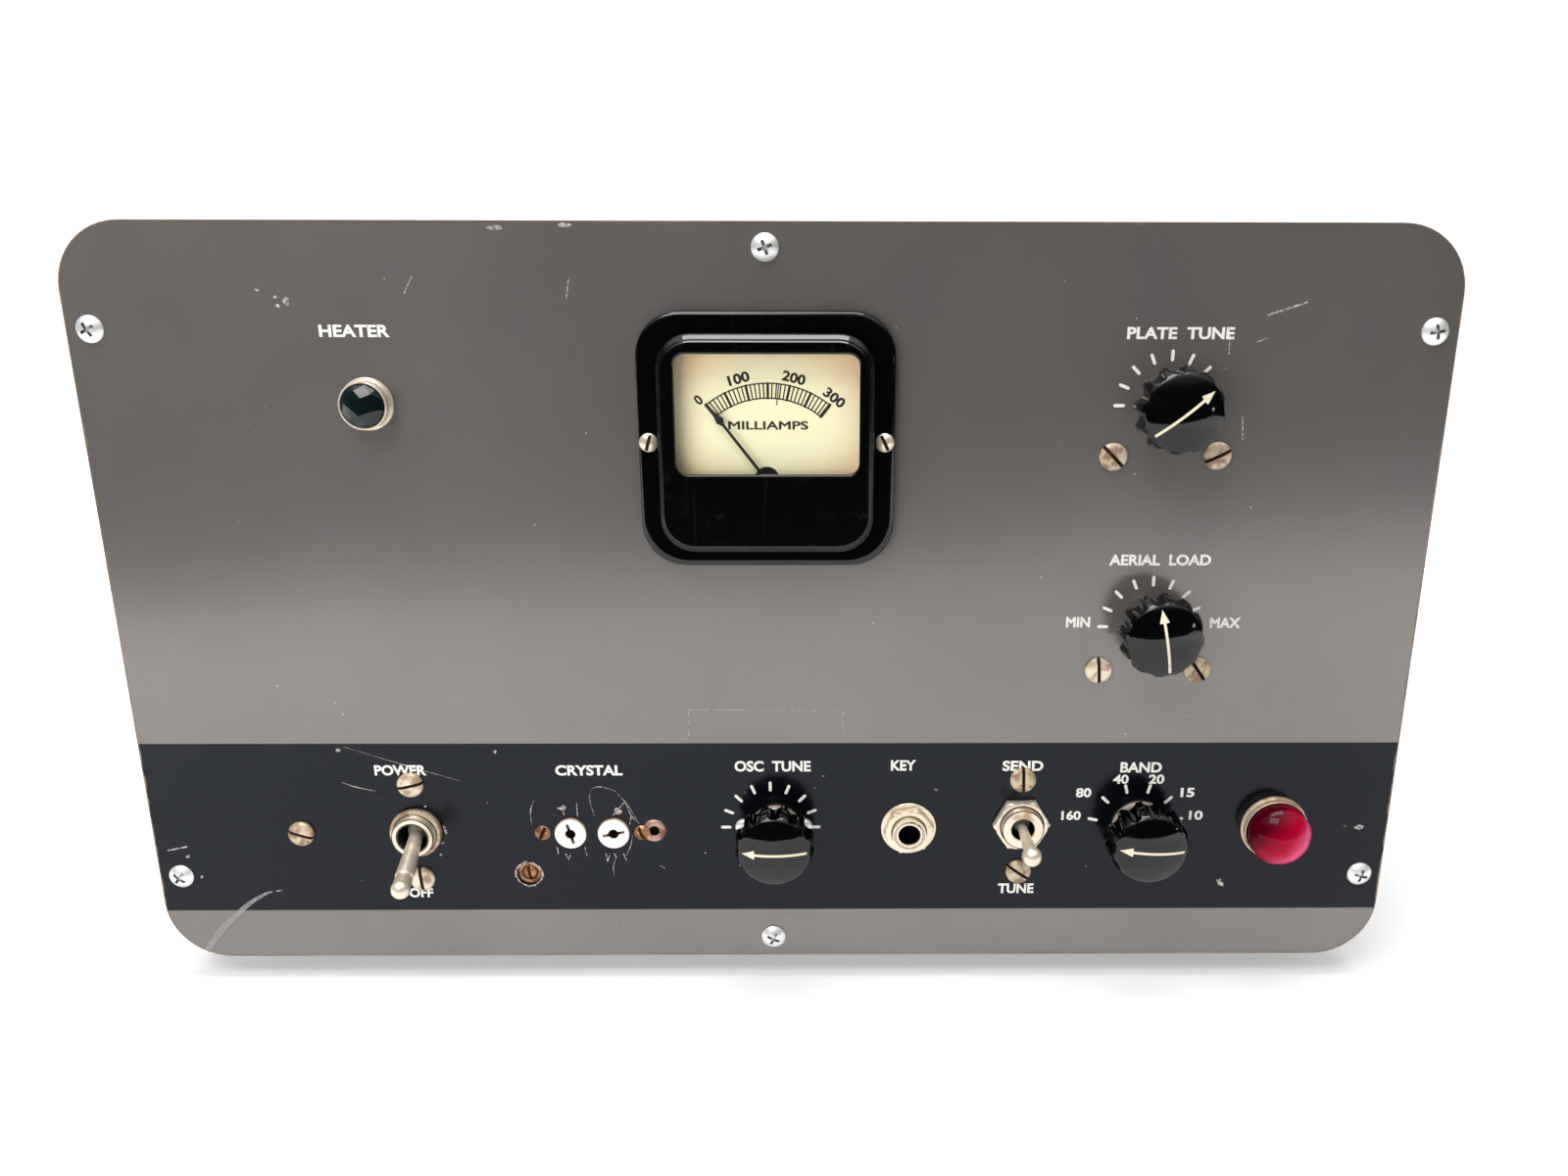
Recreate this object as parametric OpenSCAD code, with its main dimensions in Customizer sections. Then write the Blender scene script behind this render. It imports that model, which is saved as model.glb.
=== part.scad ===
// Amateur radio transmitter: front panel, wrap-round cabinet, chassis, controls and works inside.
// A place on the panel is x from its middle and z up from its lower edge, seen from the front.
// A depth d runs back from the panel's front face, so a negative depth lies in front of it.

/* [Panel] */
// Width of the front panel
panel_w = 355.6; // [345:0.1:390]
// Height of the front panel
panel_h = 209.5; // [204:0.1:240]
// Thickness of the front panel
panel_t = 1.6; // [1:0.1:2.5]
// Radius of the panel's corners
panel_corner_r = 17.5; // [12:0.5:24]
// Distance of the panel screws from the panel's edges
screw_edge = 6.3; // [5.5:0.1:7.5]
// Distance of the side screws from the panel's mid-height
screw_rise = 78; // [50:0.5:82]

/* [Cabinet] */
// Depth of the cabinet behind the panel
cabinet_depth = 203; // [190:1:260]
// Thickness of the cabinet's sheet
cabinet_t = 1.2; // [0.8:0.1:2]
// How far the panel's edge stands out past the cabinet all round
reveal = 1.5; // [0.5:0.1:2.5]
// Width of the inward flange behind the panel
front_flange = 10; // [9:0.5:12]
// Width of the inward flange at the back
rear_flange = 22; // [19:0.5:26]
// Number of vent slots in the top
vent_count = 17; // [7:2:19]
// Length of a vent slot
vent_l = 60; // [30:1:80]
// Width of a vent slot
vent_w = 4; // [3:0.5:6]
// Distance between vent slots
vent_pitch = 14; // [10:0.5:16]
// Thickness of the perforated back cover
cover_t = 1; // [0.8:0.1:2]
// Radius of the holes in the back cover
cover_hole_r = 4; // [2:0.25:5]
// Distance between the holes in the back cover
cover_hole_pitch = 14; // [12:0.5:18]
// Height of the rubber feet
foot_h = 9.5; // [7:0.5:14]
// Radius of the rubber feet
foot_r = 9; // [7.5:0.5:12]
// Distance of the feet from the cabinet's front, back and sides
foot_inset = 34; // [26:1:45]

/* [Chassis] */
// Height of the chassis deck above the panel's lower edge
deck_z = 68; // [66:0.5:72]
// Thickness of the chassis sheet
chassis_t = 1.2; // [0.8:0.1:1.6]
// Gap between the chassis and the cabinet's front flange
chassis_gap = 2; // [1:0.25:3]

/* [Meter] */
// Drop of the meter's middle below the panel's top edge
meter_drop = 55.1; // [51.5:0.1:61.5]
// Width and height of the meter's flange
meter_w = 66.7; // [62:0.1:72]
// Thickness of the meter's flange
meter_flange_t = 3.4; // [2.5:0.1:4]
// Width and height of the meter's raised front
meter_front_w = 54.5; // [53:0.1:56]
// How far the meter stands out from the panel
meter_proud = 10; // [9:0.1:12]
// Width of the meter's window
window_w = 48; // [40:0.1:49]
// Height of the meter's window
window_h = 31.2; // [28:0.1:32]
// Height of the window's middle above the meter's middle
window_rise = 7.7; // [7:0.1:8.2]
// Drop of the pointer's pivot below the meter's middle
pivot_drop = 9.4; // [8.5:0.1:11]
// Length of the pointer from its pivot
pointer_l = 23; // [18:0.1:25]
// Angle of the pointer left of upright at zero
pointer_zero = 37.5; // [30:0.5:40]
// Distance between the meter's two screws
meter_screw_pitch = 61.2; // [60.2:0.1:62]

/* [Knobs] */
// Distance of the two tuning knobs from the panel's middle
tuning_x = 104.8; // [98:0.1:110]
// Drop of the upper tuning knob below the panel's top edge
plate_drop = 45.7; // [41.5:0.1:49.5]
// Drop of the lower tuning knob below the middle of the room under the upper one's capacitor
loading_drop = 1.1; // [-3:0.1:6]
// Distance of the oscillator knob from the panel's middle
osc_x = 1; // [-4:0.1:6]
// Height of the oscillator knob
osc_z = 41.8; // [39:0.1:44]
// Distance of the band knob from the panel's middle
band_x = 105.8; // [102:0.1:110]
// Height of the band knob
band_z = 42.2; // [39:0.1:44]
// Radius of a knob's grip at its back
knob_base_r = 11.35; // [10.8:0.05:12.5]
// Radius of a knob at its face
knob_face_r = 9.85; // [9:0.05:10.5]
// Height of a knob from the back of its hub to its face
knob_h = 12.3; // [11.5:0.1:15]
// Number of flutes round a knob
knob_flutes = 12; // [8:1:14]
// Radius of a control shaft
shaft_r = 3.175; // [2.9:0.005:3.4]
// Distance between the two screws of a tuning capacitor
capacitor_screw_pitch = 27.7; // [24:0.1:32]
// Drop of those screws below the shaft
capacitor_screw_drop = 13.5; // [11:0.1:15]

/* [Switches] */
// Distance of the power switch from the panel's middle, to the left
power_x = 102.1; // [97:0.1:108]
// Height of the power switch
power_z = 41; // [40:0.1:42]
// Turn of the power switch in its hole
power_clock = 17; // [0:1:30]
// Length of the power lever from its pivot to the middle of its tip
power_lever_l = 23.8; // [20:0.1:26]
// Radius of the power lever's tip
power_tip_r = 2.65; // [2.2:0.05:3]
// Angle between the power lever's two positions
power_throw = 30; // [20:1:34]
// Distance of the mode switch from the panel's middle
mode_x = 71.6; // [69:0.1:74]
// Height of the mode switch
mode_z = 43.3; // [42:0.1:44]
// Length of the mode lever from its pivot to the middle of its ball
mode_lever_l = 20.7; // [17:0.1:22]
// Radius of the ball at the end of the mode lever
mode_tip_r = 2.75; // [2.2:0.05:3]
// Radius of a toggle switch's threaded bushing
toggle_bush_r = 5.95; // [5.6:0.05:6.4]
// How far a toggle switch's bushing stands out from the panel
toggle_bush_h = 4.6; // [4:0.1:5.5]

/* [Key and crystal] */
// Distance of the key jack from the panel's middle
key_x = 39.2; // [34:0.1:44]
// Height of the key jack
key_z = 41.9; // [39:0.1:45]
// Radius of the key jack's bore
key_bore_r = 3.2; // [3.1:0.05:3.5]
// Radius of the key jack's threaded bushing
key_bush_r = 4.76; // [4.5:0.02:5]
// How far the key jack's bushing stands out from the panel
key_bush_h = 5; // [4.5:0.1:7]
// Distance of the crystal socket's middle from the panel's middle, to the left
crystal_x = 51.8; // [48:0.1:56]
// Height of the crystal socket
crystal_z = 40.4; // [39:0.1:43]
// Distance between the crystal's two pins
pin_pitch = 12.35; // [12:0.05:12.8]
// Radius of the pin bores
pin_bore_r = 1.25; // [1.1:0.05:1.4]
// Radius of the socket's ceramic bosses
boss_r = 4.45; // [4.2:0.05:4.8]
// Distance between the socket's two screws
crystal_screw_pitch = 28.6; // [27.5:0.1:30]

/* [Lamps] */
// Distance of the upper lamp from the panel's middle, to the left
filament_x = 103.2; // [95:0.1:115]
// Drop of the upper lamp below the panel's top edge
filament_drop = 45.6; // [37.5:0.1:54.5]
// Radius of the upper jewel
filament_jewel_r = 5.6; // [5.3:0.05:6]
// Shift of the lower lamp to the right in the room between the band switch and the chassis's side
transmit_shift = 0.65; // [-3:0.05:4]
// Height of the lower lamp
transmit_z = 42.2; // [38:0.1:46]
// Radius of the lower jewel
transmit_jewel_r = 8.65; // [8:0.05:9.2]

/* [Tank coil] */
// Turns of the tank coil, ending half way round
coil_turns = 10.5; // [6.5:1:12.5]
// Radius of the tank coil to the middle of its wire
coil_r = 26; // [18:0.5:27]
// Distance between turns
coil_pitch = 6; // [4.5:0.1:6.4]
// Radius of the coil's wire
coil_wire_r = 1.4; // [1:0.1:1.8]

/* [Hidden] */
$fn = 48;

// Clearances: round a fastener, round a running shaft, beside a moving piece, and an overshoot
fit_gap = 0.15;
run_gap = 0.05;
move_gap = 0.5;
cut = 1;
// How far one shape of a solid reaches into the next
embed = 0.4;

// Depths of the main sheets
apron_d = panel_t + chassis_t;
cabinet_back_d = panel_t + cabinet_depth;
chassis_back_d = cabinet_back_d - cabinet_t;

// Sizes of the chassis box
chassis_half_w = panel_w / 2 - reveal - front_flange - chassis_gap;
chassis_z = reveal + front_flange + chassis_gap;
flange_corner_r = 4;

// How far the middle of the vents lies ahead of the back row
vent_advance = 15;

// Heights of the controls above the deck
tuning_frame_w = 44;
meter_z = panel_h - meter_drop;
plate_z = panel_h - plate_drop;
filament_z = panel_h - filament_drop;
loading_z = (deck_z + plate_z - tuning_frame_w / 2) / 2 - loading_drop;

// Place of the lower lamp across the panel
band_plate_w = 38;
transmit_x = (band_x + band_plate_w / 2 + chassis_half_w - chassis_t) / 2 + transmit_shift;

// Threaded fasteners
pan_r = 2;
pan_head_r = 3.5;
pan_head_h = 2.1;
pan_reach = 3;
cross_l = 3.8;
cross_w = 0.8;
cross_depth = 1.1;
slotted_r = 1.7;
slotted_head_r = 3.7;
slotted_head_h = 1.6;
slotted_slot_w = 0.9;
slotted_slot_depth = 0.8;
slotted_grip = 2.5;
brass_r = 1.4;
brass_head_r = 2.3;
brass_head_h = 1.3;
small_r = 1.4;
small_head_r = 2.45;
small_head_h = 1.5;
small_nut_r = 2.9;
small_nut_h = 2.2;
dome_ratio = 1.3;

// Places of the six panel screws and how each cross recess is turned
screw_x = panel_w / 2 - screw_edge;
panel_screw_points = [[0, panel_h - screw_edge], [0, screw_edge],
                      [-screw_x, panel_h / 2 + screw_rise], [screw_x, panel_h / 2 + screw_rise],
                      [-screw_x, panel_h / 2 - screw_rise], [screw_x, panel_h / 2 - screw_rise]];
panel_screw_turns = [20, 65, 30, 10, 50, 75];

// Slotted screws that hold the panel to the chassis apron
apron_screw_rise = 15;
left_screw_x = 135;
left_screw_z = 40.5;
apron_screw_points = [[-left_screw_x, left_screw_z],
                      [-power_x, power_z + apron_screw_rise], [-power_x, power_z - apron_screw_rise],
                      [mode_x, mode_z + apron_screw_rise], [mode_x, mode_z - apron_screw_rise]];
apron_screw_turns = [5, 12, 95, 80, 110];
capacitor_screw_points = [for (z = [plate_z, loading_z]) for (side = [-1, 1])
                          [tuning_x + side * capacitor_screw_pitch / 2, z - capacitor_screw_drop]];
capacitor_screw_turns = [-40, 25, 60, 35];
meter_screw_turns = [75, 115];
brass_screw_turns = [65, 115, 100];

// Brass screw at the lower left of the crystal socket, sunk in a wide hole, and the open hole right of it
sunk_screw_x = -70.9;
sunk_screw_z = 27;
sunk_hole_r = 3.6;
open_hole_r = 1.7;
open_hole_step = 3.7;
open_hole_x = -crystal_x + crystal_screw_pitch / 2 + open_hole_step;

// Meter
meter_corner_r = 11.5;
meter_front_corner_r = 8;
meter_wall = 1.8;
meter_front_t = 1.5;
window_corner_r = 3;
glass_lap = 1;
glass_t = 1.4;
barrel_r = meter_screw_pitch / 2 - small_nut_r - fit_gap;
barrel_wall = 2;
barrel_l = 34;
barrel_gap = 0.6;
stud_r = 2.4;
stud_l = 9;
stud_x = 12;
dial_t = 0.5;
dial_d = -4;
dial_gap = 0.3;
dial_hole_r = 3.2;
dial_tail = 5;
pivot_z = meter_z - pivot_drop;
staff_r = 0.8;
staff_back_d = 9;
needle_t = 0.4;
needle_stand = 1.8;
needle_d = dial_d - needle_stand;
needle_half_w = 0.55;
needle_tip_half_w = 0.9;
needle_tip_l = 4;
needle_tail_l = 5;
hub_r = 1.7;
movement_r = 17;
movement_front_d = 2;
movement_base_r = barrel_r - barrel_wall - fit_gap;
movement_base_t = 2;
movement_post_r = 2;
movement_post_x = 13;
window_z = meter_z + window_rise;
meter_cavity_w = meter_front_w - 2 * meter_wall;

// Knobs and shafts: a knob's hub clears the nut on the panel and is hollow over the nut's bushing
knob_clear = 0.8;
knob_dome_h = 1;
knob_hub_r = 7.4;
knob_grip_h = 6.1;
knob_face_t = 2.8;
knob_flute_r = 2.2;
knob_flute_floor = 0.25;
shaft_hole_r = 5;
bush_r = 4.75;
bush_h = 5;
bush_nut_r = 7.33;
bush_nut_h = 2.4;
band_flange_r = 9;
band_flange_t = 1.4;
knob_lift = bush_nut_h + knob_clear;
knob_side_h = knob_h - knob_dome_h;
knob_hub_h = knob_side_h - knob_grip_h;
knob_hollow_r = bush_r + knob_clear;
knob_hollow_h = bush_h - knob_lift + knob_clear;
knob_bore_h = knob_h - knob_face_t;
shaft_front_h = knob_lift + knob_bore_h - move_gap;

// Variable capacitors: plates, the distance between plates, and the frame of the smallest one
tuning_plate_r = 17;
plate_count = 9;
plate_pitch = 4;
loading_count = 12;
loading_pitch = 3;
osc_frame_w = 32;
osc_plate_r = 11.5;
osc_count = 6;
osc_pitch = 2.6;
end_t = 2.6;
leaf_t = 0.8;
leaf_clear = 5;
rotor_hub_r = 4;
tie_r = 2;
tie_inset = 3;
stator_rod_r = 1.5;
stator_rod_inset = 3.4;
stator_rod_share = 0.53;
stator_foot = 4.9;
stator_side_gap = 1.5;
stator_top_gap = 6;

// Angles of the rotor plates at rest, clockwise from hanging down
plate_turn = 51;
loading_turn = -11;
osc_turn = -90;

// Band switch
wafer_r = 20;
wafer_t = 1.6;
wafer_hole_r = 9;
wafer_first_d = 24;
wafer_step = 18;
wafer_count = 2;
band_rod_r = 1.6;
band_rod_x = 15;
band_plate_h = 26;
band_plate_t = 1.6;
band_end = 4;

// Toggle switches
toggle_body_w = 15;
toggle_body_h = 22;
toggle_body_l = 22;
toggle_bore_r = 4.2;
toggle_bore_l = 14;
toggle_pivot_d = 1;
toggle_ball_r = toggle_bore_r - run_gap;
toggle_tail_l = 6;
toggle_tail_r = 1.3;
toggle_lug_w = 1;
toggle_lug_h = 4;
toggle_lug_l = 7;
toggle_lug_step = 7;
power_neck_r = 1.9;
mode_neck_r = 1.5;
mode_neck_end_r = 1.9;
ring_nut_r = 7.4;
ring_nut_h = 2.2;
hex_nut_r = 8.2;
hex_nut_h = 2.5;
hex_nut_turn = 8;

// Key jack
key_washer_r = 7.9;
key_washer_t = 0.8;
key_nut_r = 7.33;
key_nut_h = 2.4;
key_nut_turn = 20;
key_collar_r = 8;
key_collar_t = 2.4;
key_bore_l = 6;
key_frame_l = 34;
key_frame_t = 1.6;
key_frame_w = 11;
key_block_l = 5;

// Crystal socket
boss_h = 1.1;
socket_w = 35;
socket_h = 14;
socket_t = 8;
slot_w = 0.9;
slot_l = 6.4;
slot_depth = 2;
slot_turns = [15, 102];
boss_hole_gap = 0.25;
contact_r = 2;
contact_l = 17;

// Jewel lamps
bezel_step = 1.25;
bezel_rim = 0.65;
bezel_foot_h = 1.2;
bezel_seat_h = 0.4;
filament_rim_h = 4.4;
filament_dome_h = 2;
transmit_rim_h = 3.4;
transmit_dome_h = 5.2;
transmit_side_h = 3.3;
jewel_stand = 0.2;
tube_step = 0.35;
tube_wall = 0.7;
lamp_tube_l = 26;
lamp_end_t = 1;
lamp_base_l = 11;
lamp_bulb_share = 0.95;

// Works on the deck: the front row stands behind the panel, the back row ahead of the back apron
front_row_d = 84;
back_row_inset = 52;
back_row_d = chassis_back_d - back_row_inset;
transformer_x = -105;
transformer_w = 92;
transformer_h = 96;
transformer_core_l = 40;
transformer_bell_l = 22;
transformer_bell_inset = 7;
choke_x = -120;
choke_d = 60;
choke_w = 60;
choke_h = 50;
choke_core_l = 26;
choke_bell_l = 12;
choke_bell_inset = 5;
can_x = -62;
can_d = 66;
can_r = 17;
can_h = 76;
can_rim_r = 18.5;
can_rim_h = 4;
rectifier_x = -18;
final_x = 38;
socket_r = 15;
socket_rim_r = 19;
socket_rim_t = 2;
socket_drop = 10;
tube_base_r = 16.5;
tube_base_h = 20;
tube_flare_h = 8;
tube_bulb_r = 21;
final_tube_h = 97;
rectifier_tube_h = 104;
tube_cap_r = 4.5;
tube_cap_h = 8;
tube_dome_end = 80;
tube_dome_steps = 8;
tube_spots = [[rectifier_x, front_row_d], [final_x, front_row_d], [final_x, back_row_d]];

// Tank coil: its axis runs along x above the deck, and its straight ends stand on two posts
coil_rings = 16;
coil_sides = 6;
coil_mid_x = 112;
coil_z = 140;
coil_lead = 16;
coil_steps = coil_turns * coil_rings;
coil_start_x = coil_mid_x - coil_turns * coil_pitch / 2;
coil_end_x = coil_mid_x + coil_turns * coil_pitch / 2;
post_r = 6;
post_foot_r = 9;
post_foot_h = 4;

// Fittings on the back apron
fitting_z = 44;
fitting_half_w = panel_w / 2 - reveal - rear_flange;
antenna_inset = 36.3;
antenna_x = fitting_half_w - antenna_inset;
antenna_flange_w = 25.4;
antenna_flange_t = 2;
antenna_barrel_r = 7.94;
antenna_barrel_l = 12;
antenna_recess_r = 6;
antenna_recess_l = 9;
antenna_core_r = 4;
antenna_bore_r = 2;
antenna_tail_r = 7.4;
antenna_tail_l = 6;
antenna_pin_r = 2.6;
antenna_pin_l = 8;
grommet_inset = 18.3;
grommet_x = grommet_inset - fitting_half_w;
grommet_neck_r = 7.5;
grommet_flange_r = 10;
grommet_flange_t = 2;
grommet_bore_r = 4;
fuse_step = 36;
fuse_x = grommet_x + fuse_step;
fuse_body_r = 6.3;
fuse_body_l = 34;
fuse_collar_r = 8.6;
fuse_collar_t = 3;
fuse_cap_r = 7;
fuse_cap_l = 8;

// Back cover and its screws
cover_margin = 6;
cover_corner_r = 8;
cover_lap = 2;
cover_screw_step = 3;
cover_low_rise = 24;
cover_high_rise = 92;
cover_side_border = 15;
cover_end_border = 7;
cabinet_screw_turn = 30;
cover_z = deck_z - cover_lap;
cover_top_z = panel_h - reveal - cover_margin;
cover_half_w = panel_w / 2 - reveal - cover_margin;
cover_screw_inset = reveal + rear_flange / 2 + cover_screw_step;
cover_screw_x = panel_w / 2 - cover_screw_inset;
cover_screw_points = [for (side = [-1, 1]) each [[side * cover_screw_x, cover_z + cover_low_rise],
                                                 [side * cover_screw_x, cover_z + cover_high_rise],
                                                 [side * cover_screw_x / 2, panel_h - cover_screw_inset]]];
cover_field_w = panel_w - 2 * (reveal + rear_flange + cover_side_border);
cover_field_h = panel_h - reveal - rear_flange - deck_z - 2 * cover_end_border;
cover_columns = floor(cover_field_w / cover_hole_pitch);
cover_rows = floor(cover_field_h / cover_hole_pitch);
cover_mid_z = (deck_z + panel_h - reveal - rear_flange) / 2;
chassis_screw_x = 75;
chassis_screw_z = (chassis_z + reveal + rear_flange) / 2;

// Feet
foot_x = panel_w / 2 - reveal - foot_inset;
foot_depths = [panel_t + foot_inset, cabinet_back_d - foot_inset];
foot_recess_gap = 0.8;
foot_recess_r = pan_head_r + foot_recess_gap;
foot_recess_h = 4.5;
foot_taper = 0.8;

// The part's box is centred on the frame in depth and stands on its feet
lever_reach = power_lever_l * cos(power_throw / 2) + power_tip_r - toggle_pivot_d;
back_reach = chassis_back_d + antenna_flange_t + antenna_barrel_l;
panel_front_y = (lever_reach - back_reach) / 2;
panel_bottom_z = foot_h - reveal;

// Points along the tank coil, from the foot of one straight end to the foot of the other
function coil_angle(i) = 360 * i / coil_rings;
function coil_point(i) = [coil_start_x + coil_pitch * i / coil_rings,
                          back_row_d + coil_r * cos(coil_angle(i)),
                          coil_z + coil_r * sin(coil_angle(i))];
coil_path = concat([[coil_start_x, back_row_d + coil_r, coil_z - coil_lead]],
                   [for (i = [0:coil_steps]) coil_point(i)],
                   [[coil_end_x, back_row_d - coil_r, coil_z - coil_lead]]);
coil_last = len(coil_path) - 1;
function coil_step_at(k) = min(max(k - 1, 0), coil_steps);
function coil_normal(k) = [0, cos(coil_angle(coil_step_at(k))), sin(coil_angle(coil_step_at(k)))];
function coil_run(k) = coil_path[min(k + 1, coil_last)] - coil_path[max(k - 1, 0)];
function coil_side(k) = cross(coil_run(k), coil_normal(k)) / norm(cross(coil_run(k), coil_normal(k)));
function coil_ring(k) = [for (s = [0:coil_sides - 1]) let (q = 360 * s / coil_sides)
                         coil_path[k] + coil_wire_r * (cos(q) * coil_normal(k) + sin(q) * coil_side(k))];
coil_gap = min([for (i = [0:coil_last]) for (j = [i + coil_rings / 2:1:coil_last])
                norm(coil_path[i] - coil_path[j])]) - 2 * coil_wire_r;
echo(tank_coil_least_gap = coil_gap);

// Points along the domed top of a valve's outline, from its shoulder up
function dome_points(shoulder) =
  [for (i = [0:tube_dome_steps]) let (a = tube_dome_end * i / tube_dome_steps)
   [tube_bulb_r * cos(a), shoulder + tube_bulb_r * sin(a)]];

// From the panel's own frame to the part's frame
module in_frame() {
  translate([0, panel_front_y, panel_bottom_z]) children();
}

// A flat shape seen from the front, given a thickness t from depth d backwards
module sheet(d, t) {
  in_frame() translate([0, d + t, 0]) rotate([90, 0, 0]) linear_extrude(t) children();
}

// Shapes whose own z axis runs to the front, or into the cabinet
module outward(x, d, z) {
  in_frame() translate([x, d, z]) rotate([90, 0, 0]) children();
}

module inward(x, d, z) {
  in_frame() translate([x, d, z]) rotate([-90, 0, 0]) children();
}

// A rectangle with round corners about its own middle
module rounded_rect(w, h, r) {
  square([w - 2 * r, h], center = true);
  square([w, h - 2 * r], center = true);
  for (sx = [-1, 1]) {
    for (sz = [-1, 1]) {
      translate([sx * (w / 2 - r), sz * (h / 2 - r)]) circle(r = r);
    }
  }
}

// The outline of the panel drawn in by a margin
module panel_outline(margin, corner_r) {
  translate([0, panel_h / 2]) rounded_rect(panel_w - 2 * margin, panel_h - 2 * margin, corner_r);
}

module tube(r, bore, h) {
  difference() {
    cylinder(r = r, h = h);
    translate([0, 0, -cut]) cylinder(r = bore, h = h + 2 * cut);
  }
}

module domed_head(r, h) {
  intersection() {
    cylinder(r = r, h = h);
    translate([0, 0, h - dome_ratio * r]) sphere(r = dome_ratio * r);
  }
}

// A pan-head screw with a cross recess, seated at its own z = 0
module pan_screw(length, turn) {
  difference() {
    union() {
      domed_head(pan_head_r, pan_head_h);
      translate([0, 0, -length]) cylinder(r = pan_r, h = length + embed);
    }
    for (a = [0, 90]) {
      rotate([0, 0, turn + a])
        translate([-cross_l / 2, -cross_w / 2, pan_head_h - cross_depth])
          cube([cross_l, cross_w, cut + cross_depth]);
    }
  }
}

// A screw with a straight slot, seated at its own z = 0
module slotted_screw(head_r, head_h, shank_r, length, turn) {
  difference() {
    union() {
      domed_head(head_r, head_h);
      translate([0, 0, -length]) cylinder(r = shank_r, h = length + embed);
    }
    rotate([0, 0, turn])
      translate([-head_r - cut, -slotted_slot_w / 2, head_h - slotted_slot_depth])
        cube([2 * (head_r + cut), slotted_slot_w, slotted_slot_depth + cut]);
  }
}

// Holes that the panel and the chassis apron share
module control_holes() {
  translate([-power_x, power_z]) circle(r = toggle_bush_r + fit_gap);
  translate([mode_x, mode_z]) circle(r = toggle_bush_r + fit_gap);
  translate([key_x, key_z]) circle(r = key_bush_r + fit_gap);
  translate([osc_x, osc_z]) circle(r = bush_r + fit_gap);
  translate([band_x, band_z]) circle(r = bush_r + fit_gap);
  translate([transmit_x, transmit_z]) circle(r = transmit_jewel_r - tube_step + fit_gap);
  translate([open_hole_x, crystal_z]) circle(r = open_hole_r);
  for (side = [-1, 1]) {
    translate([-crystal_x + side * pin_pitch / 2, crystal_z]) circle(r = boss_r + fit_gap);
    translate([-crystal_x + side * crystal_screw_pitch / 2, crystal_z]) circle(r = brass_r + fit_gap);
  }
  for (p = apron_screw_points) {
    translate(p) circle(r = slotted_r + fit_gap);
  }
}

// Holes above the chassis deck, in the panel alone
module upper_holes() {
  translate([0, meter_z]) circle(r = barrel_r + barrel_gap);
  translate([-filament_x, filament_z]) circle(r = filament_jewel_r - tube_step + fit_gap);
  for (side = [-1, 1]) {
    translate([side * meter_screw_pitch / 2, meter_z]) circle(r = small_r + fit_gap);
  }
  for (z = [plate_z, loading_z]) {
    translate([tuning_x, z]) circle(r = shaft_hole_r);
  }
  for (p = capacitor_screw_points) {
    translate(p) circle(r = slotted_r + fit_gap);
  }
}

module front_panel() {
  color([0.33, 0.32, 0.31]) sheet(0, panel_t) difference() {
    panel_outline(0, panel_corner_r);
    control_holes();
    upper_holes();
    translate([sunk_screw_x, sunk_screw_z]) circle(r = sunk_hole_r);
    for (p = panel_screw_points) {
      translate(p) circle(r = pan_r + fit_gap);
    }
  }
}

module vent_slot() {
  square([vent_w, vent_l - vent_w], center = true);
  for (side = [-1, 1]) {
    translate([0, side * (vent_l - vent_w) / 2]) circle(r = vent_w / 2);
  }
}

// Sheet wrapped into a tube, with inward flanges front and back, vents in the top and holes for screws
module cabinet_shell() {
  color([0.3, 0.29, 0.28]) difference() {
    sheet(panel_t, cabinet_depth) panel_outline(reveal, panel_corner_r - reveal);
    sheet(panel_t + cabinet_t, cabinet_depth - 2 * cabinet_t)
      panel_outline(reveal + cabinet_t, panel_corner_r - reveal - cabinet_t);
    sheet(panel_t - cut, cabinet_t + 2 * cut) panel_outline(reveal + front_flange, flange_corner_r);
    sheet(chassis_back_d - cut, cabinet_t + 2 * cut) panel_outline(reveal + rear_flange, flange_corner_r);
    for (p = panel_screw_points) {
      inward(p[0], panel_t - cut, p[1]) cylinder(r = pan_r + run_gap, h = cabinet_t + 2 * cut);
    }
    for (p = cover_screw_points) {
      outward(p[0], cabinet_back_d + cut, p[1]) cylinder(r = pan_r + run_gap, h = cabinet_t + 2 * cut);
    }
    for (side = [-1, 1]) {
      outward(side * chassis_screw_x, cabinet_back_d + cut, chassis_screw_z)
        cylinder(r = pan_r + fit_gap, h = cabinet_t + 2 * cut);
    }
    in_frame() for (i = [0:vent_count - 1]) {
      translate([(i - (vent_count - 1) / 2) * vent_pitch, back_row_d - vent_advance, panel_h / 2])
        linear_extrude(panel_h) vent_slot();
    }
    for_feet() translate([0, 0, -cut]) cylinder(r = pan_r + run_gap, h = cabinet_t + 2 * cut);
  }
}

module rear_cover() {
  color([0.3, 0.29, 0.28]) sheet(cabinet_back_d, cover_t) difference() {
    translate([0, (cover_z + cover_top_z) / 2])
      rounded_rect(2 * cover_half_w, cover_top_z - cover_z, cover_corner_r);
    for (p = cover_screw_points) {
      translate(p) circle(r = pan_r + fit_gap);
    }
    for (i = [0:cover_columns - 1]) {
      for (k = [0:cover_rows - 1]) {
        translate([(i - (cover_columns - 1) / 2) * cover_hole_pitch,
                   cover_mid_z + (k - (cover_rows - 1) / 2) * cover_hole_pitch]) circle(r = cover_hole_r);
      }
    }
  }
}

// The four places under the cabinet's floor where a foot is fixed
module for_feet() {
  in_frame() for (side = [-1, 1]) {
    for (d = foot_depths) {
      translate([side * foot_x, d, reveal]) children();
    }
  }
}

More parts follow.
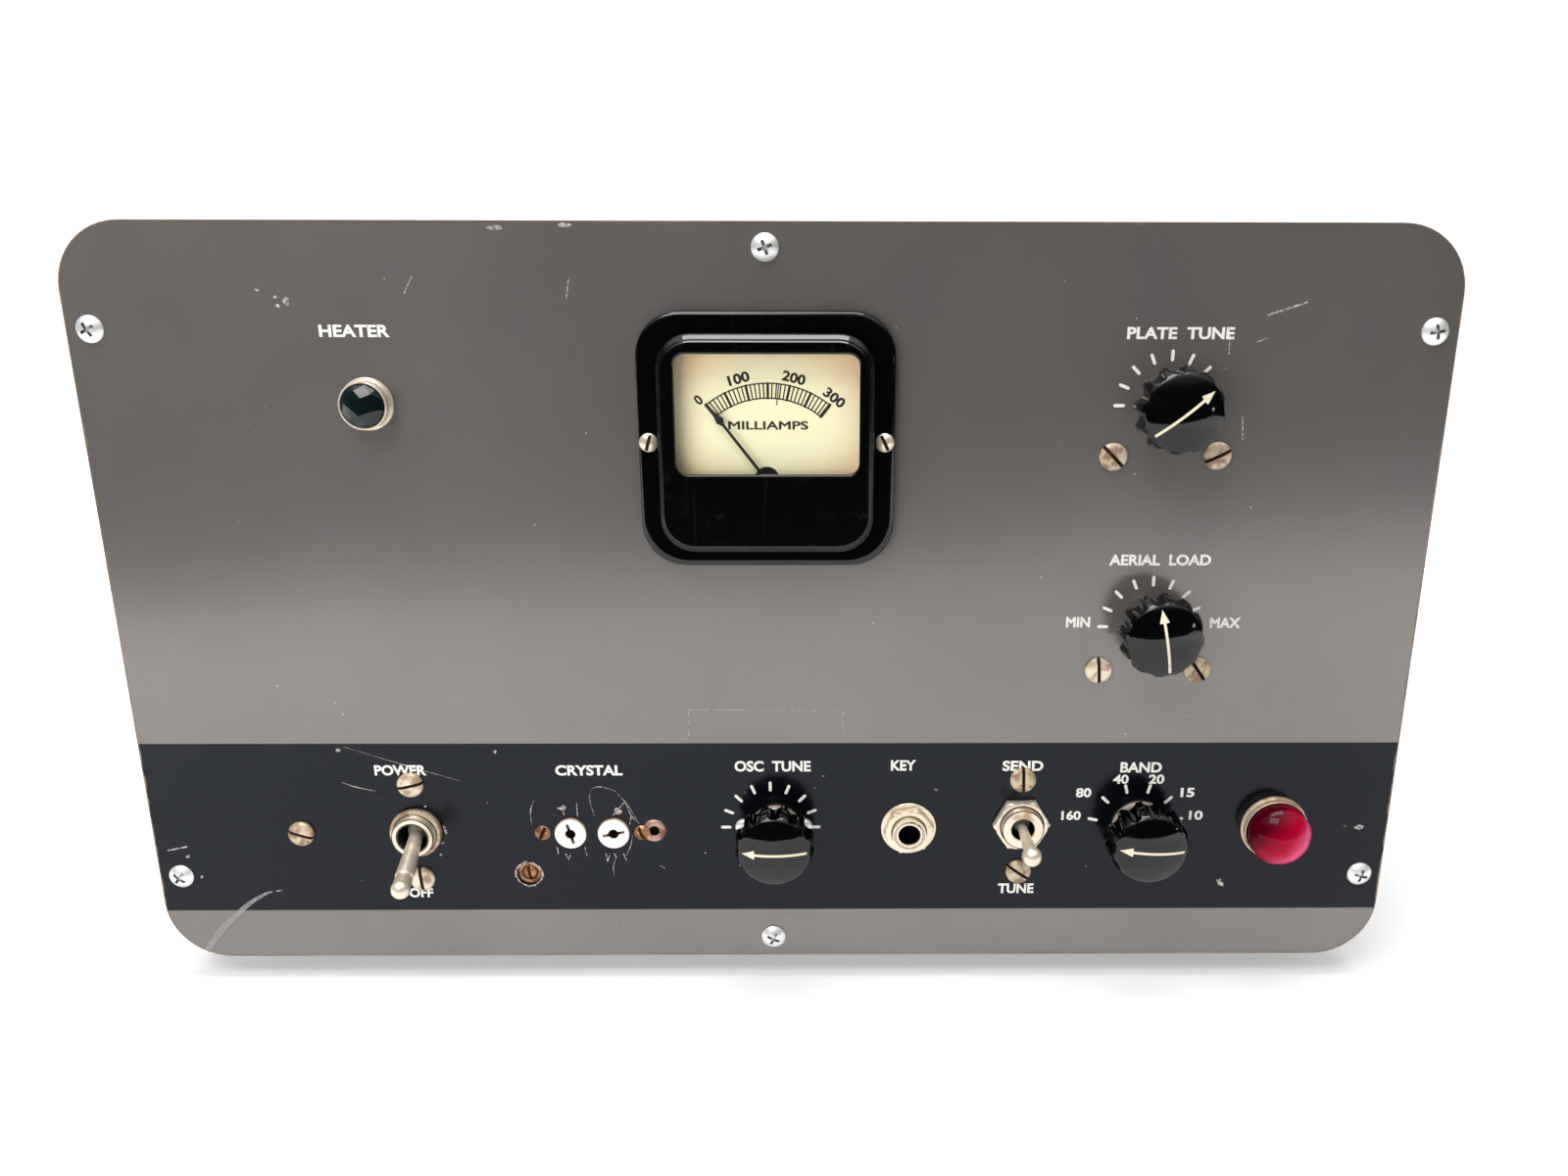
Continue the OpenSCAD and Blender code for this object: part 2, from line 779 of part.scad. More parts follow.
module rubber_feet() {
  color([0.08, 0.08, 0.08]) for_feet() translate([0, 0, -foot_h]) difference() {
    cylinder(r1 = foot_r - foot_taper, r2 = foot_r, h = foot_h);
    translate([0, 0, -cut]) cylinder(r = foot_recess_r, h = foot_recess_h + cut);
    translate([0, 0, -cut]) cylinder(r = pan_r + fit_gap, h = foot_h + 2 * cut);
  }
}

// Screws of the feet, of the back cover and of the chassis's back apron
module cabinet_screws() {
  color([0.75, 0.75, 0.73]) {
    for_feet() translate([0, 0, foot_recess_h - foot_h]) rotate([180, 0, 0])
      pan_screw(foot_h - foot_recess_h + cabinet_t + pan_reach, cabinet_screw_turn);
    for (p = cover_screw_points) {
      inward(p[0], cabinet_back_d + cover_t, p[1])
        pan_screw(cover_t + cabinet_t + pan_reach, cabinet_screw_turn);
    }
    for (side = [-1, 1]) {
      inward(side * chassis_screw_x, cabinet_back_d, chassis_screw_z)
        pan_screw(cabinet_t + chassis_t + pan_reach, cabinet_screw_turn);
    }
  }
}

module panel_screws() {
  color([0.82, 0.83, 0.83]) for (i = [0:len(panel_screw_points) - 1]) {
    outward(panel_screw_points[i][0], 0, panel_screw_points[i][1])
      pan_screw(panel_t + cabinet_t + pan_reach, panel_screw_turns[i]);
  }
}

// Bent tray, open below, with the lower controls in its front apron and the fittings in its back one
module chassis() {
  color([0.72, 0.72, 0.7]) difference() {
    in_frame() translate([-chassis_half_w, panel_t, chassis_z])
      cube([2 * chassis_half_w, chassis_back_d - panel_t, deck_z - chassis_z]);
    in_frame() translate([-chassis_half_w + chassis_t, apron_d, chassis_z - cut])
      cube([2 * (chassis_half_w - chassis_t), chassis_back_d - chassis_t - apron_d,
            deck_z - chassis_t - chassis_z + cut]);
    sheet(panel_t - cut, chassis_t + 2 * cut) control_holes();
    inward(sunk_screw_x, panel_t - cut, sunk_screw_z)
      cylinder(r = brass_r + fit_gap, h = chassis_t + 2 * cut);
    for (p = tube_spots) {
      in_frame() translate([p[0], p[1], deck_z - chassis_t - cut])
        cylinder(r = socket_r + fit_gap, h = chassis_t + 2 * cut);
    }
    for (side = [-1, 1]) {
      outward(side * chassis_screw_x, chassis_back_d + cut, chassis_screw_z)
        cylinder(r = pan_r + run_gap, h = chassis_t + 2 * cut);
    }
    for (fitting = [[antenna_x, antenna_tail_r], [fuse_x, fuse_body_r], [grommet_x, grommet_neck_r]]) {
      outward(fitting[0], chassis_back_d + cut, fitting_z)
        cylinder(r = fitting[1] + fit_gap, h = chassis_t + 2 * cut);
    }
  }
}

// Moulded front of the meter: flange, raised front with a window, and a hollow for the dial
module meter_case() {
  color([0.05, 0.05, 0.05]) difference() {
    union() {
      sheet(-meter_flange_t, meter_flange_t)
        translate([0, meter_z]) rounded_rect(meter_w, meter_w, meter_corner_r);
      sheet(-meter_proud, meter_proud - meter_flange_t + embed)
        translate([0, meter_z]) rounded_rect(meter_front_w, meter_front_w, meter_front_corner_r);
    }
    sheet(-meter_proud - cut, meter_front_t + 2 * cut)
      translate([0, window_z]) rounded_rect(window_w, window_h, window_corner_r);
    sheet(-meter_proud + meter_front_t, meter_proud - meter_front_t + cut)
      translate([0, meter_z]) rounded_rect(meter_cavity_w, meter_cavity_w, meter_front_corner_r - meter_wall);
    for (side = [-1, 1]) {
      outward(side * meter_screw_pitch / 2, cut, meter_z)
        cylinder(r = small_r + fit_gap, h = meter_flange_t + 2 * cut);
    }
  }
}

// Round back of the meter behind the panel, with its two terminal studs
module meter_barrel() {
  color([0.06, 0.06, 0.06]) union() {
    inward(0, 0, meter_z) difference() {
      cylinder(r = barrel_r, h = barrel_l);
      translate([0, 0, -cut]) cylinder(r = barrel_r - barrel_wall, h = barrel_l - barrel_wall + cut);
    }
    for (side = [-1, 1]) {
      inward(side * stud_x, barrel_l - embed, meter_z) cylinder(r = stud_r, h = stud_l + embed);
    }
  }
}

module meter_glass() {
  glass_half_w = meter_cavity_w / 2 - dial_gap;
  glass_low = window_z - window_h / 2 - glass_lap;
  glass_high = meter_z + glass_half_w;
  color([0.85, 0.9, 0.9, 0.4]) sheet(-meter_proud + meter_front_t, glass_t)
    translate([0, (glass_low + glass_high) / 2])
      rounded_rect(2 * glass_half_w, glass_high - glass_low, meter_front_corner_r - meter_wall);
}

// Printed plate behind the pointer, with a hole round the pivot
module meter_dial() {
  dial_half_w = meter_cavity_w / 2 - dial_gap;
  dial_low = pivot_z - dial_tail;
  dial_high = meter_z + dial_half_w;
  color([0.93, 0.85, 0.68]) sheet(dial_d, dial_t) difference() {
    translate([0, (dial_low + dial_high) / 2])
      rounded_rect(2 * dial_half_w, dial_high - dial_low, meter_front_corner_r - meter_wall);
    translate([0, pivot_z]) circle(r = dial_hole_r);
  }
}

// Magnet and frame that carry the dial on two posts and the pointer in a bearing
module meter_movement() {
  base_d = barrel_l - barrel_wall - movement_base_t;
  color([0.55, 0.55, 0.56]) difference() {
    union() {
      inward(0, movement_front_d, meter_z) cylinder(r = movement_r, h = base_d - movement_front_d + embed);
      inward(0, base_d, meter_z) cylinder(r = movement_base_r, h = movement_base_t);
      for (side = [-1, 1]) {
        inward(side * movement_post_x, dial_d + dial_t, meter_z)
          cylinder(r = movement_post_r, h = movement_front_d - dial_d - dial_t + embed);
      }
    }
    inward(0, movement_front_d - cut, pivot_z)
      cylinder(r = staff_r + run_gap, h = staff_back_d - movement_front_d + 2 * cut);
  }
}

// Lance-tipped needle on its staff, resting at zero
module meter_pointer() {
  color([0.04, 0.04, 0.04]) union() {
    sheet(needle_d, needle_t) translate([0, pivot_z]) rotate(pointer_zero)
      polygon([[-hub_r, -needle_tail_l], [hub_r, -needle_tail_l], [needle_half_w, 0],
               [needle_half_w, pointer_l - needle_tip_l], [needle_tip_half_w, pointer_l - needle_tip_l],
               [0, pointer_l], [-needle_tip_half_w, pointer_l - needle_tip_l],
               [-needle_half_w, pointer_l - needle_tip_l], [-needle_half_w, 0]]);
    inward(0, needle_d, pivot_z) cylinder(r = hub_r, h = needle_t + embed);
    inward(0, needle_d, pivot_z) cylinder(r = staff_r, h = staff_back_d - needle_d);
  }
}

// Two slotted screws through the meter's flange and the panel, each with its nut
module meter_screws() {
  color([0.78, 0.75, 0.66]) for (side = [-1, 1]) {
    outward(side * meter_screw_pitch / 2, -meter_flange_t, meter_z)
      slotted_screw(small_head_r, small_head_h, small_r, meter_flange_t + panel_t + 2 * small_nut_h,
                    meter_screw_turns[side > 0 ? 1 : 0]);
    inward(side * meter_screw_pitch / 2, panel_t, meter_z) difference() {
      cylinder(r = small_nut_r, h = small_nut_h, $fn = 6);
      translate([0, 0, -cut]) cylinder(r = small_r + run_gap, h = small_nut_h + 2 * cut);
    }
  }
}

// Tapered grip whose flutes run out just behind the domed face
module knob_grip() {
  face_dome_r = (knob_face_r * knob_face_r + knob_dome_h * knob_dome_h) / (2 * knob_dome_h);
  difference() {
    cylinder(r1 = knob_base_r, r2 = knob_face_r, h = knob_grip_h);
    for (i = [0:knob_flutes - 1]) {
      rotate([0, 0, 360 * i / knob_flutes])
        translate([knob_face_r + knob_flute_floor + knob_flute_r, 0, -cut])
          cylinder(r = knob_flute_r, h = knob_grip_h + cut);
    }
  }
  intersection() {
    translate([0, 0, knob_grip_h - embed]) cylinder(r = knob_face_r, h = knob_dome_h + embed);
    translate([0, 0, knob_grip_h + knob_dome_h - face_dome_r]) sphere(r = face_dome_r);
  }
}

// Grip on a hub, with a blind bore for its shaft
module knob(x, z) {
  color([0.03, 0.03, 0.03]) outward(x, -knob_lift, z) difference() {
    union() {
      cylinder(r = knob_hub_r, h = knob_hub_h + embed);
      translate([0, 0, knob_hub_h]) knob_grip();
    }
    translate([0, 0, -cut]) cylinder(r = knob_hollow_r, h = knob_hollow_h + cut);
    translate([0, 0, -cut]) cylinder(r = shaft_r + run_gap, h = knob_bore_h + cut);
  }
}

// Length of a variable capacitor from the front of its front plate to the back of its back plate
function capacitor_l(count, pitch) = 2 * (end_t + leaf_clear) + (count - 1) * pitch + leaf_t;

// Two end plates, with bearings for the shaft, on four tie rods
module capacitor_frame(x, z, front_d, size, count, pitch) {
  length = capacitor_l(count, pitch);
  difference() {
    union() {
      for (d = [front_d, front_d + length - end_t]) {
        in_frame() translate([x - size / 2, d, z - size / 2]) cube([size, end_t, size]);
      }
      for (sx = [-1, 1]) {
        for (sz = [-1, 1]) {
          inward(x + sx * (size / 2 - tie_inset), front_d + end_t - embed, z + sz * (size / 2 - tie_inset))
            cylinder(r = tie_r, h = length - 2 * (end_t - embed));
        }
      }
    }
    inward(x, front_d - cut, z) cylinder(r = shaft_r + run_gap, h = length + 2 * cut);
  }
}

// Half-round plates on a shaft that reaches from inside the knob to the back plate
module capacitor_rotor(x, z, front_d, plate_r, count, pitch, turn) {
  union() {
    inward(x, -shaft_front_h, z)
      cylinder(r = shaft_r, h = shaft_front_h + front_d + capacitor_l(count, pitch));
    for (i = [0:count - 1]) {
      sheet(front_d + end_t + leaf_clear + i * pitch, leaf_t) translate([x, z]) rotate(-turn) {
        circle(r = rotor_hub_r);
        difference() {
          circle(r = plate_r);
          translate([-plate_r - cut, 0]) square([2 * (plate_r + cut), plate_r + cut]);
        }
      }
    }
  }
}

// Fixed plates between the rotor's plates, on two rods that stand between the end plates
module capacitor_stator(x, z, front_d, size, plate_r, count, pitch) {
  length = capacitor_l(count, pitch);
  half_w = size / 2 - stator_side_gap;
  union() {
    for (i = [0:count - 2]) {
      sheet(front_d + end_t + leaf_clear + (i + 0.5) * pitch, leaf_t)
        translate([x - half_w, z + stator_foot])
          square([2 * half_w, size / 2 - stator_top_gap - stator_foot]);
    }
    for (side = [-1, 1]) {
      inward(x + side * (size / 2 - stator_rod_inset), front_d + end_t, z + stator_rod_share * plate_r)
        cylinder(r = stator_rod_r, h = length - 2 * end_t);
    }
  }
}

// A tuning capacitor's frame also takes the two screws from the panel
module tuning_frame(z, count, pitch) {
  color([0.85, 0.84, 0.8]) difference() {
    capacitor_frame(tuning_x, z, panel_t, tuning_frame_w, count, pitch);
    for (side = [-1, 1]) {
      inward(tuning_x + side * capacitor_screw_pitch / 2, 0, z - capacitor_screw_drop)
        cylinder(r = slotted_r + run_gap, h = panel_t + end_t + cut);
    }
  }
}

module plate_knob() {
  knob(tuning_x, plate_z);
}

module plate_rotor() {
  color([0.75, 0.75, 0.74])
    capacitor_rotor(tuning_x, plate_z, panel_t, tuning_plate_r, plate_count, plate_pitch, plate_turn);
}

module plate_frame() {
  tuning_frame(plate_z, plate_count, plate_pitch);
}

module plate_stator() {
  color([0.7, 0.7, 0.69])
    capacitor_stator(tuning_x, plate_z, panel_t, tuning_frame_w, tuning_plate_r, plate_count, plate_pitch);
}

module loading_knob() {
  knob(tuning_x, loading_z);
}

module loading_rotor() {
  color([0.75, 0.75, 0.74])
    capacitor_rotor(tuning_x, loading_z, panel_t, tuning_plate_r, loading_count, loading_pitch, loading_turn);
}

module loading_frame() {
  tuning_frame(loading_z, loading_count, loading_pitch);
}

module loading_stator() {
  color([0.7, 0.7, 0.69])
    capacitor_stator(tuning_x, loading_z, panel_t, tuning_frame_w, tuning_plate_r,
                     loading_count, loading_pitch);
}

module oscillator_knob() {
  knob(osc_x, osc_z);
}

module oscillator_rotor() {
  color([0.75, 0.75, 0.74])
    capacitor_rotor(osc_x, osc_z, apron_d, osc_plate_r, osc_count, osc_pitch, osc_turn);
}

// The small capacitor hangs on a threaded bushing through the apron and the panel
module oscillator_frame() {
  color([0.85, 0.84, 0.8]) union() {
    capacitor_frame(osc_x, osc_z, apron_d, osc_frame_w, osc_count, osc_pitch);
    outward(osc_x, apron_d + embed, osc_z) tube(bush_r, shaft_r + run_gap, apron_d + embed + bush_h);
  }
}

module oscillator_stator() {
  color([0.7, 0.7, 0.69])
    capacitor_stator(osc_x, osc_z, apron_d, osc_frame_w, osc_plate_r, osc_count, osc_pitch);
}

module band_knob() {
  knob(band_x, band_z);
}

// Shaft with the turning discs of the switch wafers
module band_rotor() {
  back_d = apron_d + wafer_first_d + (wafer_count - 1) * wafer_step + wafer_t + band_end;
  color([0.6, 0.5, 0.35]) union() {
    inward(band_x, -shaft_front_h, band_z) cylinder(r = shaft_r, h = shaft_front_h + back_d);
    for (i = [0:wafer_count - 1]) {
      inward(band_x, apron_d + wafer_first_d + i * wafer_step, band_z)
        cylinder(r = wafer_hole_r - move_gap, h = wafer_t);
    }
  }
}

// Indexing plate with its bushing and the two rods that carry the wafers
module band_frame() {
  rod_l = wafer_first_d + (wafer_count - 1) * wafer_step + wafer_t + band_end;
  color([0.72, 0.72, 0.7]) union() {
    difference() {
      sheet(apron_d, band_plate_t)
        translate([band_x, band_z]) square([band_plate_w, band_plate_h], center = true);
      inward(band_x, apron_d - cut, band_z) cylinder(r = shaft_r + run_gap, h = band_plate_t + 2 * cut);
    }
    outward(band_x, apron_d + embed, band_z) tube(bush_r, shaft_r + run_gap, apron_d + embed + bush_h);
    for (side = [-1, 1]) {
      inward(band_x + side * band_rod_x, apron_d + band_plate_t - embed, band_z)
        cylinder(r = band_rod_r, h = rod_l - band_plate_t + embed);
    }
  }
}

module band_wafers() {
  color([0.45, 0.3, 0.18]) for (i = [0:wafer_count - 1]) {
    sheet(apron_d + wafer_first_d + i * wafer_step, wafer_t) translate([band_x, band_z]) difference() {
      circle(r = wafer_r);
      circle(r = wafer_hole_r);
      for (side = [-1, 1]) {
        translate([side * band_rod_x, 0]) circle(r = band_rod_r + run_gap);
      }
    }
  }
}

// A hexagon nut on a threaded bushing
module hex_nut(r, bore, h) {
  difference() {
    cylinder(r = r, h = h, $fn = 6);
    translate([0, 0, -cut]) cylinder(r = bore, h = h + 2 * cut);
  }
}

// The nuts of the two lower knobs' bushings; the band switch's nut has a round flange
module bushing_nuts() {
  bore = bush_r + run_gap;
  color([0.75, 0.72, 0.62]) {
    outward(osc_x, 0, osc_z) hex_nut(bush_nut_r, bore, bush_nut_h);
    outward(band_x, 0, band_z) union() {
      hex_nut(bush_nut_r, bore, bush_nut_h);
      tube(band_flange_r, bore, band_flange_t);
    }
  }
}

// Screws of the two tuning capacitors and of the chassis apron
module slotted_screws() {
  color([0.62, 0.58, 0.5]) {
    for (i = [0:len(apron_screw_points) - 1]) {
      outward(apron_screw_points[i][0], 0, apron_screw_points[i][1])
        slotted_screw(slotted_head_r, slotted_head_h, slotted_r, apron_d + slotted_grip,
                      apron_screw_turns[i]);
    }
    for (i = [0:len(capacitor_screw_points) - 1]) {
      outward(capacitor_screw_points[i][0], 0, capacitor_screw_points[i][1])
        slotted_screw(slotted_head_r, slotted_head_h, slotted_r, panel_t + end_t, capacitor_screw_turns[i]);
    }
  }
}

// A lever on a ball: it points to the front, drops by a tilt and leans with the switch's turn
module toggle_lever(x, z, clock, tilt) {
  in_frame() translate([x, toggle_pivot_d, z]) rotate([0, -clock, 0]) rotate([90 + tilt, 0, 0]) union() {
    sphere(r = toggle_ball_r);
    translate([0, 0, -toggle_tail_l - toggle_ball_r / 2])
      cylinder(r = toggle_tail_r, h = toggle_tail_l + toggle_ball_r / 2);
    children();
  }
}

// Insulated body with three lugs, and the threaded bushing that the lever swings in
module toggle_switch(x, z, clock) {
  color([0.2, 0.17, 0.14]) difference() {
    in_frame() translate([x, 0, z]) rotate([0, -clock, 0]) union() {
      translate([-toggle_body_w / 2, apron_d, -toggle_body_h / 2])
        cube([toggle_body_w, toggle_body_l, toggle_body_h]);
      rotate([90, 0, 0]) translate([0, 0, -apron_d - embed])
        cylinder(r = toggle_bush_r, h = toggle_bush_h + apron_d + embed);
      for (i = [-1:1]) {
        translate([-toggle_lug_w / 2, apron_d + toggle_body_l - embed,
                   i * toggle_lug_step - toggle_lug_h / 2])
          cube([toggle_lug_w, toggle_lug_l + embed, toggle_lug_h]);
      }
    }
    outward(x, toggle_bore_l, z) cylinder(r = toggle_bore_r, h = toggle_bore_l + toggle_bush_h + cut);
  }
}

// Bat-shaped lever that swells towards a round tip
module power_lever() {
  color([0.78, 0.74, 0.64]) toggle_lever(-power_x, power_z, power_clock, power_throw / 2) {
    cylinder(r1 = power_neck_r, r2 = power_tip_r, h = power_lever_l);
    translate([0, 0, power_lever_l]) sphere(r = power_tip_r);
  }
}

module power_switch() {
  toggle_switch(-power_x, power_z, power_clock);
}

module power_ring_nut() {
  color([0.78, 0.74, 0.62]) outward(-power_x, 0, power_z)
    tube(ring_nut_r, toggle_bush_r + run_gap, ring_nut_h);
}

// Slim lever with a ball at its end
module mode_lever() {
  color([0.78, 0.75, 0.68]) toggle_lever(mode_x, mode_z, 0, 0) {
    cylinder(r1 = mode_neck_r, r2 = mode_neck_end_r, h = mode_lever_l);
    translate([0, 0, mode_lever_l]) sphere(r = mode_tip_r);
  }
}

module mode_switch() {
  toggle_switch(mode_x, mode_z, 0);
}

module mode_hex_nut() {
  color([0.78, 0.75, 0.66]) outward(mode_x, 0, mode_z) rotate([0, 0, hex_nut_turn])
    hex_nut(hex_nut_r, toggle_bush_r + run_gap, hex_nut_h);
}

// Bushing with the plug's bore, its collar, and the frame that carries the contact springs
module key_jack() {
  color([0.75, 0.72, 0.62]) difference() {
    union() {
      outward(key_x, apron_d + embed, key_z) cylinder(r = key_bush_r, h = apron_d + embed + key_bush_h);
      inward(key_x, apron_d, key_z) cylinder(r = key_collar_r, h = key_collar_t);
      in_frame() translate([key_x - key_frame_w / 2, apron_d + embed, key_z - key_collar_r])
        cube([key_frame_w, key_frame_l, key_frame_t]);
      in_frame() translate([key_x - key_frame_w / 2, apron_d + key_frame_l - key_block_l,
                            key_z - key_collar_r + embed])
        cube([key_frame_w, key_block_l + embed, key_collar_r + key_bore_r]);
    }
    outward(key_x, apron_d + key_bore_l, key_z)
      cylinder(r = key_bore_r, h = apron_d + key_bore_l + key_bush_h + cut);
  }
}

module key_nut() {
  color([0.78, 0.74, 0.62]) outward(key_x, -key_washer_t, key_z) rotate([0, 0, key_nut_turn])
    hex_nut(key_nut_r, key_bush_r + run_gap, key_nut_h);
}

module key_washer() {
  color([0.74, 0.7, 0.58]) outward(key_x, 0, key_z) tube(key_washer_r, key_bush_r + run_gap, key_washer_t);
}

// Ceramic block behind the apron, with two bosses that come out through the panel
module crystal_socket() {
  color([0.95, 0.94, 0.9]) difference() {
    union() {
      sheet(apron_d, socket_t) translate([-crystal_x, crystal_z]) square([socket_w, socket_h], center = true);
      for (side = [-1, 1]) {
        outward(-crystal_x + side * pin_pitch / 2, apron_d + embed, crystal_z)
          cylinder(r = boss_r, h = apron_d + embed + boss_h);
      }
    }
    for (i = [0, 1]) {
      outward(-crystal_x + (i - 0.5) * pin_pitch, -boss_h, crystal_z) rotate([0, 0, slot_turns[i]])
        translate([-slot_w / 2, -slot_l / 2, -slot_depth]) cube([slot_w, slot_l, slot_depth + cut]);
      inward(-crystal_x + (i - 0.5) * pin_pitch, slot_depth - boss_h, crystal_z)
        cylinder(r = contact_r + run_gap, h = apron_d + socket_t + cut);
      outward(-crystal_x + (i - 0.5) * pin_pitch, slot_depth, crystal_z)
        cylinder(r = pin_bore_r + boss_hole_gap, h = slot_depth + boss_h + cut);
    }
    for (side = [-1, 1]) {
      inward(-crystal_x + side * crystal_screw_pitch / 2, 0, crystal_z)
        cylinder(r = brass_r + run_gap, h = apron_d + socket_t + cut);
    }
  }
}

// Spring sleeves that grip the crystal's pins
module crystal_contacts() {
  color([0.8, 0.68, 0.4]) for (side = [-1, 1]) {
    inward(-crystal_x + side * pin_pitch / 2, slot_depth - boss_h, crystal_z)
      tube(contact_r, pin_bore_r, contact_l);
  }
}

module brass_screws() {
  color([0.7, 0.52, 0.3]) {
    for (side = [-1, 1]) {
      outward(-crystal_x + side * crystal_screw_pitch / 2, 0, crystal_z)
        slotted_screw(brass_head_r, brass_head_h, brass_r, apron_d + socket_t,
                      brass_screw_turns[side > 0 ? 1 : 0]);
    }
    outward(sunk_screw_x, panel_t, sunk_screw_z)
      slotted_screw(brass_head_r, brass_head_h, brass_r, chassis_t + slotted_grip, brass_screw_turns[2]);
  }
}

// Stepped rim that a jewel sits in, on a closed tube that holds the lamp behind the panel
module jewel_bezel(x, z, jewel_r, rim_h) {
  bore_r = jewel_r - tube_step - tube_wall;
  color([0.8, 0.77, 0.68]) difference() {
    union() {
      outward(x, 0, z) cylinder(r = jewel_r + bezel_step, h = bezel_foot_h);
      outward(x, 0, z) cylinder(r = jewel_r + bezel_rim, h = rim_h);
      inward(x, -embed, z) cylinder(r = jewel_r - tube_step, h = lamp_tube_l + embed);
    }
    outward(x, -bezel_seat_h, z) cylinder(r = jewel_r + run_gap, h = rim_h + cut);
    outward(x, lamp_tube_l - lamp_end_t, z) cylinder(r = bore_r, h = lamp_tube_l + rim_h + cut);
  }
}

// A jewel with a straight side and a domed front
module jewel(x, z, r, side_h, dome_h) {
  dome_r = (r * r + dome_h * dome_h) / (2 * dome_h);
  outward(x, -bezel_seat_h, z) intersection() {
    cylinder(r = r, h = side_h + dome_h);
    translate([0, 0, side_h + dome_h - dome_r]) sphere(r = dome_r);
  }
}

module filament_jewel() {
  color([0.03, 0.09, 0.07])
    jewel(-filament_x, filament_z, filament_jewel_r, filament_rim_h - jewel_stand, filament_dome_h);
}

module filament_bezel() {
  jewel_bezel(-filament_x, filament_z, filament_jewel_r, filament_rim_h);
}

module transmit_jewel() {
  color([0.7, 0.03, 0.12])
    jewel(transmit_x, transmit_z, transmit_jewel_r, transmit_rim_h + transmit_side_h, transmit_dome_h);
}

module transmit_bezel() {
  jewel_bezel(transmit_x, transmit_z, transmit_jewel_r, transmit_rim_h);
}

// A bayonet lamp standing on the closed end of a bezel's tube
module lamp(x, z, jewel_r) {
  base_r = jewel_r - tube_step - tube_wall - fit_gap;
  outward(x, lamp_tube_l - lamp_end_t, z) union() {
    cylinder(r = base_r, h = lamp_base_l);
    translate([0, 0, lamp_base_l]) sphere(r = base_r * lamp_bulb_share);
  }
}

module pilot_lamps() {
  color([0.9, 0.85, 0.7]) {
    lamp(-filament_x, filament_z, filament_jewel_r);
    lamp(transmit_x, transmit_z, transmit_jewel_r);
  }
}

// A laminated core between two bell covers, standing on the deck
module iron_core(x, d, w, h, core_l, bell_l, inset) {
  in_frame() translate([x, d, deck_z]) union() {
    translate([-w / 2, -core_l / 2, 0]) cube([w, core_l, h]);
    translate([-w / 2 + inset, -core_l / 2 - bell_l, inset])
      cube([w - 2 * inset, core_l + 2 * bell_l, h - 2 * inset]);
  }
}

module power_transformer() {
  color([0.12, 0.12, 0.12])
    iron_core(transformer_x, back_row_d, transformer_w, transformer_h, transformer_core_l,
              transformer_bell_l, transformer_bell_inset);
}

module filter_choke() {
  color([0.13, 0.12, 0.12])
    iron_core(choke_x, choke_d, choke_w, choke_h, choke_core_l, choke_bell_l, choke_bell_inset);
}

module filter_capacitor() {
  color([0.75, 0.75, 0.74]) in_frame() translate([can_x, can_d, deck_z]) union() {
    cylinder(r = can_rim_r, h = can_rim_h);
    cylinder(r = can_r, h = can_h);
  }
}

// A valve: base, straight bulb and domed top, turned from one outline
module valve(spot, height, capped) {
  shoulder = height - tube_bulb_r;
  in_frame() translate([spot[0], spot[1], deck_z + socket_rim_t]) union() {
    rotate_extrude() polygon(concat([[0, 0], [tube_base_r, 0], [tube_base_r, tube_base_h],
                                     [tube_bulb_r, tube_base_h + tube_flare_h]],
                                    dome_points(shoulder), [[0, height - embed]]));
    if (capped) {
      translate([0, 0, height - tube_cap_h / 2]) cylinder(r = tube_cap_r, h = tube_cap_h);
    }
  }
}

module rectifier_tube() {
  color([0.55, 0.6, 0.6]) valve(tube_spots[0], rectifier_tube_h, false);
}

module final_tubes() {
  color([0.55, 0.6, 0.6]) for (i = [1, 2]) {
    valve(tube_spots[i], final_tube_h, true);
  }
}

module tube_sockets() {
  color([0.85, 0.84, 0.8]) for (p = tube_spots) {
    in_frame() translate([p[0], p[1], deck_z]) union() {
      cylinder(r = socket_rim_r, h = socket_rim_t);
      translate([0, 0, -socket_drop]) cylinder(r = socket_r, h = socket_drop + embed);
    }
  }
}

// Bare wire wound in one helix, with straight ends
module tank_coil() {
  points = [for (k = [0:coil_last]) each coil_ring(k)];
  end_point = coil_last * coil_sides;
  side_faces = [for (k = [0:coil_last - 1]) for (s = [0:coil_sides - 1])
                let (a = k * coil_sides + s, b = k * coil_sides + (s + 1) % coil_sides)
                each [[a, a + coil_sides, b + coil_sides], [a, b + coil_sides, b]]];
  end_faces = [for (s = [1:coil_sides - 2])
               each [[0, s, s + 1], [end_point, end_point + s + 1, end_point + s]]];
  color([0.72, 0.45, 0.3]) in_frame() polyhedron(points, concat(side_faces, end_faces));
}

// Ceramic posts under the coil's ends
module coil_posts() {
  color([0.93, 0.92, 0.88]) for (end = [coil_path[0], coil_path[coil_last]]) {
    in_frame() translate([end[0], end[1], deck_z]) union() {
      cylinder(r = post_foot_r, h = post_foot_h);
      cylinder(r = post_r, h = coil_z - coil_lead - deck_z);
    }
  }
}

